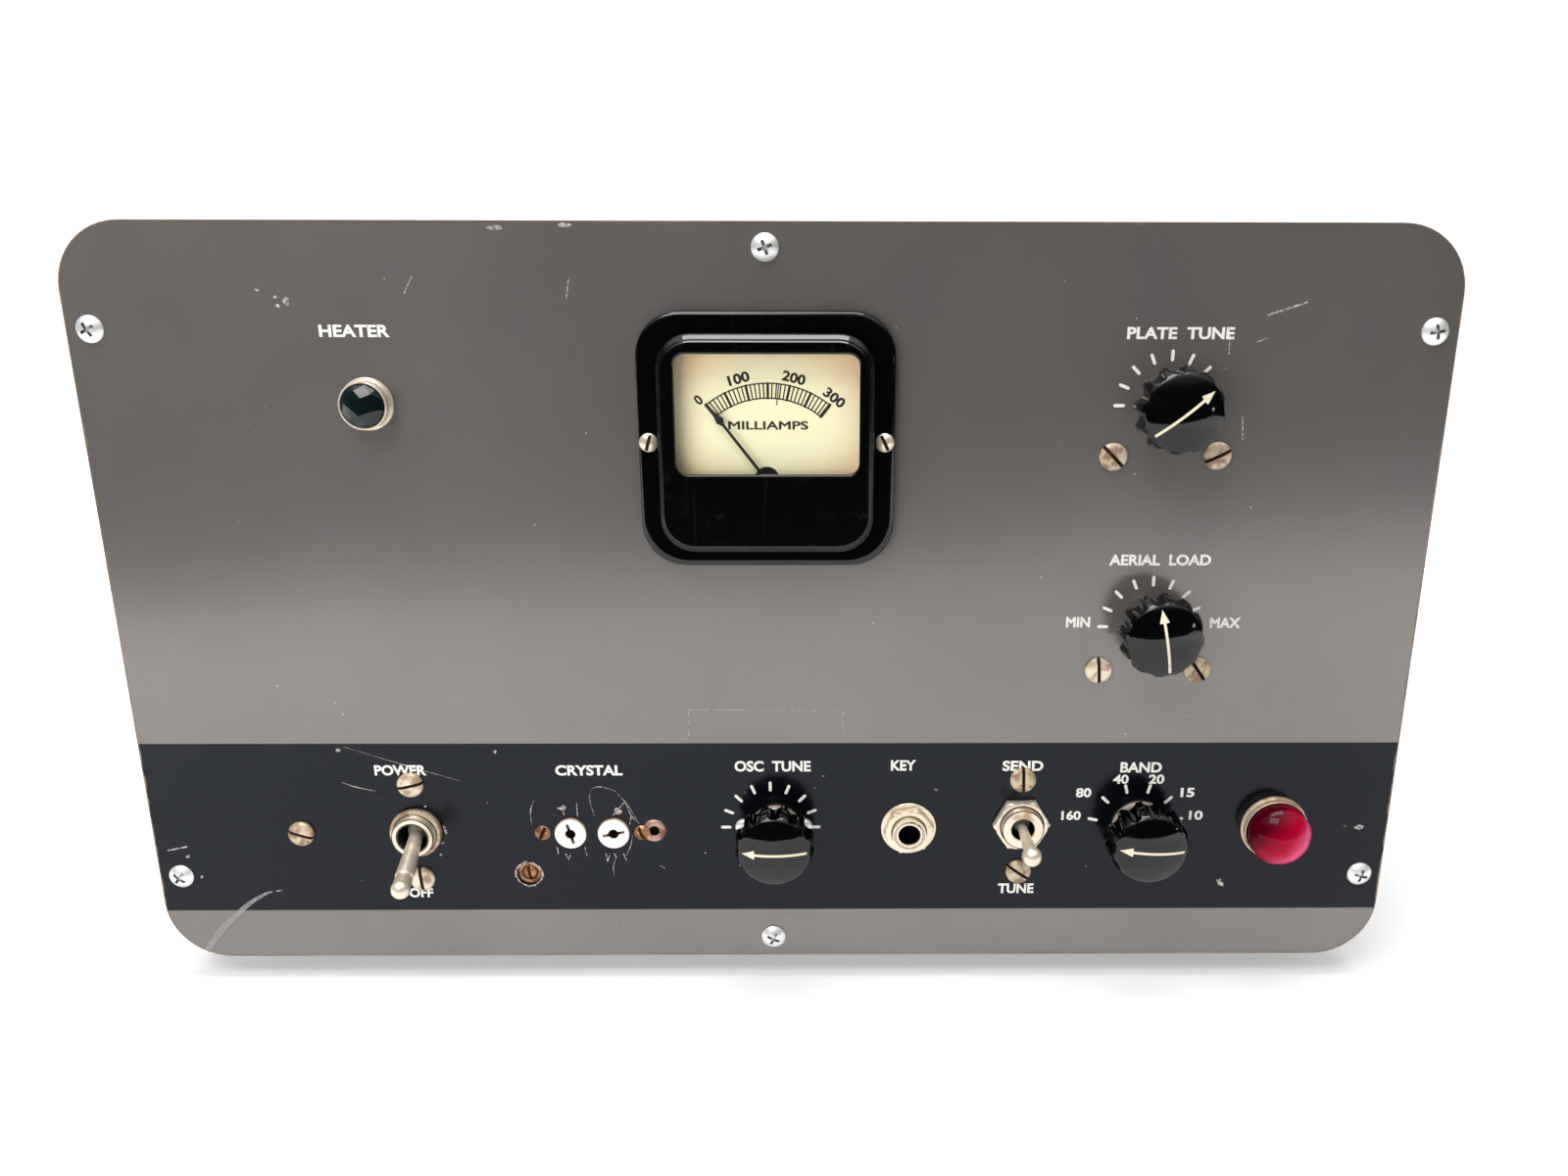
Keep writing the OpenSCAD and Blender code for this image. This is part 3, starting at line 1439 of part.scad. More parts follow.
// Coaxial socket: square flange, threaded barrel, and an insulated middle contact
module antenna_connector() {
  color([0.8, 0.8, 0.79]) difference() {
    union() {
      sheet(chassis_back_d, antenna_flange_t) translate([antenna_x, fitting_z])
        square([antenna_flange_w, antenna_flange_w], center = true);
      inward(antenna_x, chassis_back_d + antenna_flange_t - embed, fitting_z)
        cylinder(r = antenna_barrel_r, h = antenna_barrel_l + embed);
      outward(antenna_x, chassis_back_d + embed, fitting_z)
        cylinder(r = antenna_tail_r, h = antenna_tail_l + embed);
      outward(antenna_x, chassis_back_d - antenna_tail_l + embed, fitting_z)
        cylinder(r = antenna_pin_r, h = antenna_pin_l + embed);
    }
    inward(antenna_x, back_reach - antenna_recess_l, fitting_z) {
      tube(antenna_recess_r, antenna_core_r, antenna_recess_l + cut);
      cylinder(r = antenna_bore_r, h = antenna_recess_l + cut);
    }
  }
}

module fuse_holder() {
  color([0.06, 0.06, 0.06]) union() {
    inward(fuse_x, chassis_back_d, fitting_z) cylinder(r = fuse_collar_r, h = fuse_collar_t);
    inward(fuse_x, chassis_back_d + fuse_collar_t - embed, fitting_z)
      cylinder(r = fuse_cap_r, h = fuse_cap_l + embed);
    outward(fuse_x, chassis_back_d + embed, fitting_z) cylinder(r = fuse_body_r, h = fuse_body_l + embed);
  }
}

// Rubber ring in the back apron that the mains cord passes through
module line_grommet() {
  grommet_d = chassis_back_d - chassis_t - grommet_flange_t;
  grommet_l = chassis_t + 2 * grommet_flange_t;
  color([0.09, 0.09, 0.09]) inward(grommet_x, grommet_d, fitting_z) difference() {
    union() {
      cylinder(r = grommet_flange_r, h = grommet_flange_t);
      cylinder(r = grommet_neck_r, h = grommet_l);
      translate([0, 0, grommet_flange_t + chassis_t]) cylinder(r = grommet_flange_r, h = grommet_flange_t);
    }
    translate([0, 0, -cut]) cylinder(r = grommet_bore_r, h = grommet_l + 2 * cut);
  }
}

front_panel();
cabinet_shell();
rear_cover();
rubber_feet();
cabinet_screws();
panel_screws();
chassis();
meter_case();
meter_barrel();
meter_glass();
meter_dial();
meter_movement();
meter_pointer();
meter_screws();
plate_knob();
plate_rotor();
plate_frame();
plate_stator();
loading_knob();
loading_rotor();
loading_frame();
loading_stator();
oscillator_knob();
oscillator_rotor();
oscillator_frame();
oscillator_stator();
band_knob();
band_rotor();
band_frame();
band_wafers();
bushing_nuts();
slotted_screws();
power_lever();
power_switch();
power_ring_nut();
mode_lever();
mode_switch();
mode_hex_nut();
key_jack();
key_nut();
key_washer();
crystal_socket();
crystal_contacts();
brass_screws();
filament_jewel();
filament_bezel();
transmit_jewel();
transmit_bezel();
pilot_lamps();
power_transformer();
filter_choke();
filter_capacitor();
rectifier_tube();
final_tubes();
tube_sockets();
tank_coil();
coil_posts();
antenna_connector();
fuse_holder();
line_grommet();
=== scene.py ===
import math
import random

import bmesh
import bpy
from mathutils import Matrix, Vector


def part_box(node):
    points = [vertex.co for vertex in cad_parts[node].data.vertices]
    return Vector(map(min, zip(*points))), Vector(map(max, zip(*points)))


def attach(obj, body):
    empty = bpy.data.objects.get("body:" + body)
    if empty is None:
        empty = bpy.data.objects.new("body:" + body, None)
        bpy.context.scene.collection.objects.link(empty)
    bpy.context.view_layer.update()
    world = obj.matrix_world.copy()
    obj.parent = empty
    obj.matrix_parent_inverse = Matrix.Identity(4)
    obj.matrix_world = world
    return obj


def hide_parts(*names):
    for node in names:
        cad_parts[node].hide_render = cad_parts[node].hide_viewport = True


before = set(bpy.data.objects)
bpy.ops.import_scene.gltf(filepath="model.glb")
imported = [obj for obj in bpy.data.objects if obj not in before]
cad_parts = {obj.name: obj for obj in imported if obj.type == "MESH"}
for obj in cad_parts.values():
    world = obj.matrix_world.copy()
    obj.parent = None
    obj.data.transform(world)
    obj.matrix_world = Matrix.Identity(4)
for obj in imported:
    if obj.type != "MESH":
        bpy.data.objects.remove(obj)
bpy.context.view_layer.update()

MM = 0.001
PANEL_LOW, PANEL_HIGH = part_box("front_panel")
PANEL_W = (PANEL_HIGH.x - PANEL_LOW.x) / MM
PANEL_H = (PANEL_HIGH.z - PANEL_LOW.z) / MM
PANEL_CORNER = 17.5
BAND_LOW = 15.3
BAND_HIGH = 68.3
POWER_AT = (-102.1, 41.0)
MODE_AT = (71.6, 43.3)
KEY_AT = (39.2, 41.9)
EYELET_AT = (-34.0, 41.0)
GREEN_AT = (-103.2, 163.9)
RED_AT = (144.6, 42.2)
RED_R = 8.6
INK = 0.06
SCRAPE = 0.03
WHITE = (1.0, 1.0, 1.0, 1.0)
draw = random.Random(4)


# Places and shapes

def place(x, d, z):
    """A point given in millimetres right of the panel's middle, behind its front and above its lower edge."""
    middle = (PANEL_LOW.x + PANEL_HIGH.x) / 2
    return Vector((middle + x * MM, PANEL_LOW.y + d * MM, PANEL_LOW.z + z * MM))


def heading(angle):
    """The way that an angle points on the panel, clockwise from the top."""
    turn = math.radians(angle)
    return Vector((math.sin(turn), math.cos(turn)))


def outward(x, z, d=0.0):
    """Points round an axis that leaves the panel to the front; angles run clockwise from the top."""
    def spin(r, angle, h):
        turn = math.radians(angle)
        return place(x + r * math.sin(turn), d - h, z + r * math.cos(turn))
    return spin


def along(base, tip):
    """Points round the axis from one point to another."""
    axis = (tip - base).normalized()
    side = axis.orthogonal().normalized()
    other = axis.cross(side)

    def spin(r, angle, h):
        turn = math.radians(angle)
        return base + (axis * h + side * r * math.cos(turn) + other * r * math.sin(turn)) * MM
    return spin


def skin(bm, loops, ring=False):
    """Faces between closed loops of points; a loop of one point is a tip."""
    rows = [[bm.verts.new(point) for point in loop] for loop in loops]
    pairs = list(zip(rows, rows[1:]))
    if ring:
        pairs.append((rows[-1], rows[0]))
    for near, far in pairs:
        for i in range(max(len(near), len(far))):
            k = i + 1
            corners = [near[i % len(near)], near[k % len(near)], far[k % len(far)], far[i % len(far)]]
            bm.faces.new(list(dict.fromkeys(corners)))


def fillet(points, radius, steps=4):
    """The same line with its inner corners rounded."""
    line = [points[0]]
    for before, corner, after in zip(points, points[1:], points[2:]):
        corner = Vector(corner)
        into = Vector(before) - corner
        out = Vector(after) - corner
        start = corner + into.normalized() * min(radius, into.length / 2)
        end = corner + out.normalized() * min(radius, out.length / 2)
        for i in range(steps + 1):
            t = i / steps
            line.append(tuple(start * (1 - t) ** 2 + corner * 2 * t * (1 - t) + end * t ** 2))
    line.append(points[-1])
    return line


def blade(bm, middle, angle, stations, depth):
    """A thin closed strip; a station is its reach and half width, and depth places its two layers."""
    way = heading(angle)
    aside = Vector((way.y, -way.x))
    loops = []
    for reach, half in stations:
        loop = []
        for side, layer in ((-half, 1), (half, 1), (half, -1), (-half, -1)):
            spot = Vector(middle) + way * reach + aside * side
            loop.append(place(spot.x, depth(math.hypot(reach, side), layer), spot.y))
        loops.append(loop)
    skin(bm, loops)
    bmesh.ops.holes_fill(bm, edges=bm.edges)


def turned(bm, spin, profile, count=72, start=0.0):
    """A turned body. A profile entry is a radius, or a radius for each angle, and a height."""
    loops = []
    for r, h in profile:
        if r == 0:
            loops.append([spin(0, 0, h)])
        else:
            angles = [start + 360 * i / count for i in range(count)]
            loops.append([spin(r(a) if callable(r) else r, a, h) for a in angles])
    skin(bm, loops, ring=profile[0][0] != 0 and profile[-1][0] != 0)


def plate(bm, outline, front_d, back_d):
    """A flat piece on the panel, from its outline in x and z."""
    front = [bm.verts.new(place(x, front_d, z)) for x, z in outline]
    back = [bm.verts.new(place(x, back_d, z)) for x, z in outline]
    bm.faces.new(front)
    bm.faces.new(back[::-1])
    for i in range(len(outline)):
        k = (i + 1) % len(outline)
        bm.faces.new([front[k], front[i], back[i], back[k]])


def bar(bm, start, end, width, front_d, back_d, steps=6):
    """A straight mark with round ends."""
    start = Vector(start)
    end = Vector(end)
    aim = math.atan2(end.y - start.y, end.x - start.x)
    outline = []
    for centre, turn in ((end, aim - math.pi / 2), (start, aim + math.pi / 2)):
        for i in range(steps + 1):
            a = turn + math.pi * i / steps
            outline.append((centre.x + width / 2 * math.cos(a), centre.y + width / 2 * math.sin(a)))
    plate(bm, outline, front_d, back_d)


def rounded_frame(x, z, half_w, half_h, radius, d, steps=10):
    """The points of a rectangle with round corners, facing the front."""
    points = []
    for corner, (side_x, side_z) in enumerate(((1, 1), (1, -1), (-1, -1), (-1, 1))):
        for i in range(steps + 1):
            a = math.radians(90 * (corner + i / steps))
            points.append(place(x + side_x * (half_w - radius) + radius * math.sin(a), d,
                                z + side_z * (half_h - radius) + radius * math.cos(a)))
    return points


def hexagon(corner_r, turn, limit):
    """The radius of a hexagon at each angle, kept within a limit."""
    def radius(angle):
        swing = math.radians((angle - turn) % 60 - 30)
        return min(corner_r * math.cos(math.radians(30)) / math.cos(swing), limit)
    return radius


def write(bm, words, x, z, cap, length, turn=0.0, d=0.0, bold=0.032):
    """Plain letters as a thin raised print, centred on a point, to a given height and length."""
    curve = bpy.data.curves.new("words", "FONT")
    curve.body = words
    curve.bevel_depth = bold
    curve.bevel_resolution = 0
    curve.extrude = 0.01
    curve.resolution_u = 4
    holder = bpy.data.objects.new("words", curve)
    letters = bpy.data.meshes.new_from_object(holder)
    xs = [v.co.x for v in letters.vertices]
    ys = [v.co.y for v in letters.vertices]
    wide = length / (max(xs) - min(xs))
    high = cap / (max(ys) - min(ys))
    swing = math.radians(turn)
    for v in letters.vertices:
        across = (v.co.x - (max(xs) + min(xs)) / 2) * wide
        up = (v.co.y - (max(ys) + min(ys)) / 2) * high
        v.co = place(x + across * math.cos(swing) + up * math.sin(swing),
                     d - INK if v.co.z > 0 else d + INK / 2,
                     z + up * math.cos(swing) - across * math.sin(swing))
    bm.from_mesh(letters)
    bpy.data.objects.remove(holder)
    bpy.data.curves.remove(curve)
    bpy.data.meshes.remove(letters)


def finish_piece(name, bm, finish, slot, replaced=(), sharp=38, body="cabinet"):
    """Turns a mesh under construction into a piece that rides on a body."""
    bmesh.ops.remove_doubles(bm, verts=bm.verts, dist=1e-7)
    bmesh.ops.recalc_face_normals(bm, faces=bm.faces)
    mesh = bpy.data.meshes.new(name)
    bm.to_mesh(mesh)
    bm.free()
    mesh.shade_smooth()
    mesh.set_sharp_from_angle(angle=math.radians(sharp))
    mesh.materials.append(finish)
    piece = bpy.data.objects.new(name, mesh)
    bpy.context.scene.collection.objects.link(piece)
    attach(piece, body)
    if replaced:
        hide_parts(*replaced)
    return piece


def turned_piece(name, at, profile, finish, slot="nickel", count=96, start=0.0, d=0.0, **rest):
    """A piece turned round an axis that leaves the panel; the rest goes to finish_piece."""
    bm = bmesh.new()
    turned(bm, outward(*at, d), profile, count, start)
    finish_piece(name, bm, finish, slot, **rest)


# Finishes

def srgb(*levels):
    """A colour written as the 0 to 255 levels it should render as."""
    values = [level / 255 for level in levels]
    return tuple(v / 12.92 if v <= 0.04045 else ((v + 0.055) / 1.055) ** 2.4 for v in values) + (1.0,)


class Nodes:
    """A node tree with short ways to add to it."""

    def __init__(self, tree, coordinates):
        self.tree = tree
        self.place = self.add("TexCoord").outputs[coordinates]

    def put(self, target, source):
        if isinstance(source, bpy.types.NodeSocket):
            self.tree.links.new(source, target)
        else:
            target.default_value = source

    def add(self, kind, *sources, **settings):
        """A new node with its settings and what goes into its first sockets."""
        node = self.tree.nodes.new("ShaderNode" + kind)
        for name, value in settings.items():
            setattr(node, name, value)
        for socket, source in zip(node.inputs, sources):
            self.put(socket, source)
        return node

    def axes(self):
        return self.add("SeparateXYZ", self.place).outputs

    def math(self, operation, first, second=0.0):
        return self.add("Math", first, second, operation=operation).outputs[0]

    def fade(self, value, low, high, to_low=0.0, to_high=1.0, step="SMOOTHSTEP"):
        """A step of a value between two limits, smooth or straight."""
        return self.add("MapRange", value, low, high, to_low, to_high, interpolation_type=step).outputs[0]

    def seen_rays(self):
        """One for rays from the camera and those that mirrors and glass send on; then the camera's alone."""
        path = self.add("LightPath").outputs
        sent_on = self.math("MAXIMUM", path["Is Glossy Ray"], path["Is Transmission Ray"])
        return self.math("MAXIMUM", path["Is Camera Ray"], sent_on), path["Is Camera Ray"]


class Finish(Nodes):
    """A material being made; its constants are set on the shader by the sockets' names."""

    def __init__(self, name, **constants):
        self.material = bpy.data.materials.new(name)
        self.material.use_nodes = True
        super().__init__(self.material.node_tree, "Object")
        self.shader = self.tree.nodes["Principled BSDF"]
        for socket, value in constants.items():
            self.shader.inputs[socket.replace("_", " ").title().replace("Ior", "IOR")].default_value = value

    def feed(self, socket, source):
        self.tree.links.new(source, self.shader.inputs[socket])

    def noise(self, scale, detail=3.0, stretch=None, distortion=0.0):
        vector = self.place
        if stretch:
            mapping = self.add("Mapping", vector)
            mapping.inputs["Scale"].default_value = stretch
            vector = mapping.outputs["Vector"]
        node = self.add("TexNoise", vector)
        for socket, value in (("Scale", scale), ("Detail", detail), ("Distortion", distortion)):
            node.inputs[socket].default_value = value
        return node.outputs[0]

    def mix(self, factor, first, second):
        """Between two colours, each from a socket or written as levels."""
        node = self.add("Mix", factor, data_type="RGBA")
        for socket, colour in ((6, first), (7, second)):
            self.put(node.inputs[socket], srgb(*colour) if isinstance(colour, tuple) else colour)
        return node.outputs[2]

    def crevice(self, reach):
        """Low in corners and slots, one on open surfaces."""
        node = self.add("AmbientOcclusion", samples=8)
        node.inputs["Distance"].default_value = reach
        return node.outputs["AO"]

    def bump(self, height, distance):
        node = self.add("Bump")
        node.inputs["Distance"].default_value = distance
        self.put(node.inputs["Height"], height)
        self.feed("Normal", node.outputs[0])


def metal(name, bright, dark, rough, tarnish, scale=160.0, scratch=0.000015, shine=0.8):
    """Metal with tarnished patches, fine scratches and painted shade: darker brown in its corners and slots.
    """
    f = Finish(name, metallic=shine)
    patches = f.fade(f.noise(scale, 6.0, distortion=0.4), 0.75 - tarnish, 0.95 - tarnish)
    # Painted shade: where ambient occlusion finds corners and slots, the colour goes toward dark brown.
    crevice_shade = f.fade(f.crevice(1.2 * MM), 0.3, 0.8, 0.85, 0.0)
    f.feed("Base Color", f.mix(crevice_shade, f.mix(patches, bright, dark), (40, 30, 22)))
    grain = f.noise(2600.0, 2.0, (1.0, 1.0, 0.15))
    f.feed("Roughness", f.math("ADD", f.fade(patches, 0.0, 1.0, rough, rough + 0.22),
                               f.math("MULTIPLY", grain, 0.08)))
    f.bump(f.math("ADD", grain, f.math("MULTIPLY", patches, -0.8)), scratch)
    return f.material


def moulded(name, colour, worn, rough, coat, gloss=0.5):
    """Moulded plastic or ceramic with a dusty, faintly scratched skin."""
    f = Finish(name, specular_ior_level=gloss, coat_weight=coat, coat_roughness=0.04)
    dust = f.fade(f.noise(220.0, 5.0), 0.56, 0.8)
    lines = f.fade(f.noise(420.0, 1.0, (1.0, 1.0, 0.06), 0.6), 0.7, 0.76)
    f.feed("Base Color", f.mix(f.math("MAXIMUM", dust, lines), colour, worn))
    f.feed("Roughness", f.fade(dust, 0.0, 1.0, rough, rough + 0.08))
    f.bump(f.noise(900.0, 2.0), 0.00001)
    return f.material


def edge_distance(f, x, z):
    """Distance from the panel's outline, in metres, below zero within it."""
    radius = PANEL_CORNER * MM
    half_w = PANEL_W / 2 * MM - radius
    half_h = PANEL_H / 2 * MM - radius
    middle = (PANEL_LOW.z + PANEL_HIGH.z) / 2
    beside = f.math("SUBTRACT", f.math("ABSOLUTE", x), half_w)
    above = f.math("SUBTRACT", f.math("ABSOLUTE", f.math("SUBTRACT", z, middle)), half_h)
    out_x = f.math("MAXIMUM", beside, 0.0)
    out_z = f.math("MAXIMUM", above, 0.0)
    corner = f.math("SQRT", f.math("ADD", f.math("MULTIPLY", out_x, out_x), f.math("MULTIPLY", out_z, out_z)))
    flat = f.math("MINIMUM", f.math("MAXIMUM", beside, above), 0.0)
    return f.math("SUBTRACT", f.math("ADD", corner, flat), radius)


def panel_paint():
    """Grey enamel with a black band, worn to the metal along its edges."""
    f = Finish("panel_paint", specular_ior_level=0.31, specular_tint=(0.8, 0.88, 1.0, 1.0))
    x, _, z = f.axes()
    cloud = f.noise(16.0, 5.0)
    tint = f.noise(45.0, 3.0)
    grey = f.mix(cloud, (122, 117, 113), (140, 137, 134))
    grey = f.mix(f.fade(tint, 0.45, 0.7, 0.0, 0.35), grey, (134, 125, 129))
    black = f.mix(cloud, (5, 6, 10), (11, 12, 18))
    low = PANEL_LOW.z + BAND_LOW * MM
    high = PANEL_LOW.z + BAND_HIGH * MM
    blur = 0.15 * MM
    band = f.math("MULTIPLY", f.fade(z, low - blur, low + blur), f.fade(z, high + blur, high - blur))
    colour = f.mix(band, grey, black)
    specks = f.fade(f.noise(330.0, 2.0), 0.76, 0.8, 0.0, 0.5)
    colour = f.mix(specks, colour, (170, 160, 152))
    rust = f.fade(f.noise(75.0, 6.0, distortion=0.8), 0.7, 0.82, 0.0, 0.45)
    colour = f.mix(rust, colour, (92, 66, 50))
    ragged = f.math("ADD", edge_distance(f, x, z), f.math("MULTIPLY", f.noise(240.0, 5.0), 1.6 * MM))
    bare = f.fade(ragged, 0.25 * MM, 0.6 * MM)
    colour = f.mix(bare, colour, f.mix(tint, (84, 62, 46), (168, 148, 124)))
    f.feed("Base Color", colour)
    f.feed("Metallic", f.fade(band, 0.0, 1.0, 0.55, 0.0))
    gloss = f.math("ADD", f.fade(cloud, 0.3, 0.7, 0.21, 0.23), f.math("MULTIPLY", band, -0.05))
    f.feed("Roughness", f.math("ADD", gloss, f.math("MULTIPLY", bare, 0.2)))
    f.bump(f.math("SUBTRACT", f.noise(1500.0, 2.0), f.math("MULTIPLY", bare, 3.0)), 0.00001)
    return f.material


def case_paint():
    """The same enamel in a fine wrinkle, rubbed at random."""
    f = Finish("case_paint")
    cloud = f.noise(18.0, 5.0)
    colour = f.mix(cloud, (90, 86, 82), (98, 95, 92))
    rubbed = f.fade(f.noise(70.0, 6.0, distortion=0.5), 0.68, 0.82, 0.0, 0.6)
    f.feed("Base Color", f.mix(rubbed, colour, (128, 118, 108)))
    f.feed("Roughness", f.fade(cloud, 0.3, 0.7, 0.42, 0.55))
    f.bump(f.noise(900.0, 4.0), 0.00006)
    return f.material


def rubber():
    f = Finish("rubber")
    dust = f.fade(f.noise(260.0, 5.0), 0.45, 0.8)
    f.feed("Base Color", f.mix(dust, (26, 26, 27), (62, 60, 57)))
    f.feed("Roughness", f.fade(dust, 0.0, 1.0, 0.6, 0.85))
    f.bump(f.noise(1800.0, 3.0), 0.00005)
    return f.material


def dial_card():
    """Cream card, browner towards its rim."""
    f = Finish("dial_card")
    x, _, z = f.axes()
    half_w = 0.027
    half_h = 0.0185
    middle = place(0, 0, 160).z
    across = f.math("MULTIPLY", x, 1.0 / half_w)
    up = f.math("MULTIPLY", f.math("SUBTRACT", z, middle), 1.0 / half_h)
    reach = f.math("ADD", f.math("MULTIPLY", across, across), f.math("MULTIPLY", up, up))
    aged = f.math("ADD", f.fade(reach, 0.3, 1.25), f.math("MULTIPLY", f.noise(90.0, 5.0), 0.18))
    f.feed("Base Color", f.mix(f.math("SUBTRACT", aged, 0.09), (255, 250, 208), (255, 226, 178)))
    f.feed("Roughness", f.fade(f.noise(400.0, 2.0), 0.3, 0.7, 0.6, 0.75))
    f.bump(f.noise(3000.0, 2.0), 0.000008)
    return f.material


def print_ink(name, colour, thin):
    """Printed ink that wears thin in patches."""
    f = Finish(name)
    f.feed("Base Color", f.mix(f.fade(f.noise(700.0, 4.0), 0.55, 0.8), colour, thin))
    f.feed("Roughness", f.fade(f.noise(1200.0, 2.0), 0.3, 0.7, 0.45, 0.6))
    f.bump(f.noise(4000.0, 2.0), 0.00001)
    return f.material


def scratch_mark(name, pale, dull, thin, dense):
    """Scraped paint, broken up along its length; thin and dense are the limits of how well it covers."""
    f = Finish(name)
    worn = f.noise(900.0, 4.0)
    f.feed("Base Color", f.mix(f.fade(worn, 0.35, 0.65), pale, dull))
    f.feed("Roughness", f.fade(worn, 0.3, 0.7, 0.5, 0.7))
    f.feed("Alpha", f.fade(f.noise(1500.0, 3.0), 0.36, 0.5, thin, dense))
    return f.material


def clear_glass(name, tint, alpha):
    """Thin clear glass with a faint film of dust."""
    f = Finish(name, coat_weight=0.6, coat_roughness=0.02)
    film = f.fade(f.noise(130.0, 5.0), 0.4, 0.8)
    f.feed("Base Color", f.mix(film, tint, (210, 206, 196)))
    f.feed("Roughness", f.fade(film, 0.0, 1.0, 0.03, 0.09))
    f.feed("Alpha", f.fade(film, 0.0, 1.0, alpha, alpha + 0.015))
    return f.material


def green_glass():
    """Dark green jewel, painted paler where its faces turn edge-on to the view: a painted sheen for light
    through the thin rim.
    """
    f = Finish("green_glass", ior=1.5)
    cloud = f.noise(160.0, 4.0)
    # Painted sheen: the colour goes paler as faces turn edge-on to the view.
    edge = f.add("LayerWeight", 0.35)
    f.feed("Base Color", f.mix(f.math("MULTIPLY", edge.outputs["Facing"], f.fade(cloud, 0.2, 0.8, 0.7, 1.0)),
                               (8, 20, 20), (34, 50, 50)))
    f.feed("Roughness", f.fade(cloud, 0.3, 0.8, 0.03, 0.09))
    f.bump(f.noise(500.0, 2.0), 0.000006)
    return f.material


def red_glass():
    """Ruby glass with painted light: painted dark at its upper left and painted lighter and pinker at its
    lower right.
    """
    f = Finish("red_glass", ior=1.45, specular_ior_level=0.14)
    x, _, z = f.axes()
    middle = place(RED_AT[0], 0, RED_AT[1])
    across = f.math("MULTIPLY", f.math("SUBTRACT", x, middle.x), 0.8 / (RED_R * MM))
    up = f.math("MULTIPLY", f.math("SUBTRACT", z, middle.z), 0.6 / (RED_R * MM))
    # Painted light and shade: a ramp from upper left to lower right darkens one side and lights the other.
    painted_light_ramp = f.math("ADD", f.math("SUBTRACT", across, up), f.math("MULTIPLY", f.noise(140.0, 3.0), 0.5))
    shade_to_mid = f.mix(f.fade(painted_light_ramp, -0.6, 0.4), (74, 0, 18), (178, 8, 46))
    f.feed("Base Color", f.mix(f.fade(painted_light_ramp, 0.2, 1.0), shade_to_mid, (255, 84, 140)))
    f.feed("Roughness", f.fade(f.noise(160.0, 4.0), 0.3, 0.8, 0.04, 0.1))
    f.bump(f.noise(500.0, 2.0), 0.000006)
    return f.material


def laminated_iron():
    """Stacked iron sheets under dark varnish."""
    f = Finish("laminated_iron", metallic=0.6)
    sheets = f.noise(900.0, 1.0, (0.02, 1.0, 0.02))
    f.feed("Base Color", f.mix(f.noise(60.0, 5.0), (34, 32, 32), (66, 58, 52)))
    f.feed("Roughness", f.fade(sheets, 0.3, 0.7, 0.35, 0.6))
    f.bump(sheets, 0.0001)
    return f.material


PAINT = panel_paint()
BAKELITE = moulded("bakelite", (4, 4, 5), (13, 13, 14), 0.07, 0.0)
NICKEL = metal("nickel", (246, 232, 210), (196, 166, 136), 0.26, 0.2, shine=0.6)
OLD_NICKEL = metal("old_nickel", (226, 206, 178), (160, 130, 102), 0.3, 0.3, shine=0.55)
BRASS = metal("brass", (186, 138, 98), (124, 84, 60), 0.34, 0.32, 260.0, shine=0.7)
EYELET = metal("eyelet", (196, 160, 142), (132, 98, 82), 0.4, 0.36, 300.0, shine=0.6)
ZINC = metal("zinc", (250, 251, 250), (206, 210, 208), 0.34, 0.16, shine=0.6)
OLD_SCREW = metal("old_screw", (238, 224, 202), (176, 148, 122), 0.34, 0.3, 260.0, shine=0.45)
WORN_SCREW = metal("worn_screw", (212, 194, 164), (158, 132, 108), 0.42, 0.34, 380.0, shine=0.35)
PLATED_SHEET = metal("plated_sheet", (178, 180, 178), (150, 149, 144), 0.36, 0.22, 110.0, shine=0.5)
ALUMINIUM = metal("aluminium", (208, 210, 212), (150, 150, 150), 0.3, 0.2)
WHITE_INK = print_ink("white_ink", (246, 244, 238), (206, 202, 192))
IVORY_INK = print_ink("ivory_ink", (242, 232, 206), (206, 194, 164))
BROWN_INK = print_ink("brown_ink", (30, 14, 6), (56, 32, 18))
NEEDLE_BLACK = print_ink("needle_black", (10, 9, 9), (26, 24, 23))
# Near-black matte used as painted shade inside holes, bores and slots.
HOLLOW_SHADE = moulded("hollow_shade", (14, 10, 8), (36, 26, 18), 0.7, 0.0, 0.0)
# Dark brown matte used as painted shade in screw slots and in the power switch's bushing.
BROWN_SHADE = moulded("brown_shade", (52, 36, 26), (92, 72, 54), 0.8, 0.0, 0.0)
SCRATCH = scratch_mark("scratch_mark", (214, 206, 200), (150, 142, 136), 0.3, 0.95)
RESIDUE = scratch_mark("residue", (216, 206, 200), (160, 142, 134), 0.3, 0.95)
SCUFF = scratch_mark("scuff", (196, 194, 196), (170, 168, 172), 0.34, 0.5)
CERAMIC = moulded("ceramic", (250, 249, 244), (226, 216, 196), 0.14, 0.8)
RED_GLASS = red_glass()
GREEN_GLASS = green_glass()

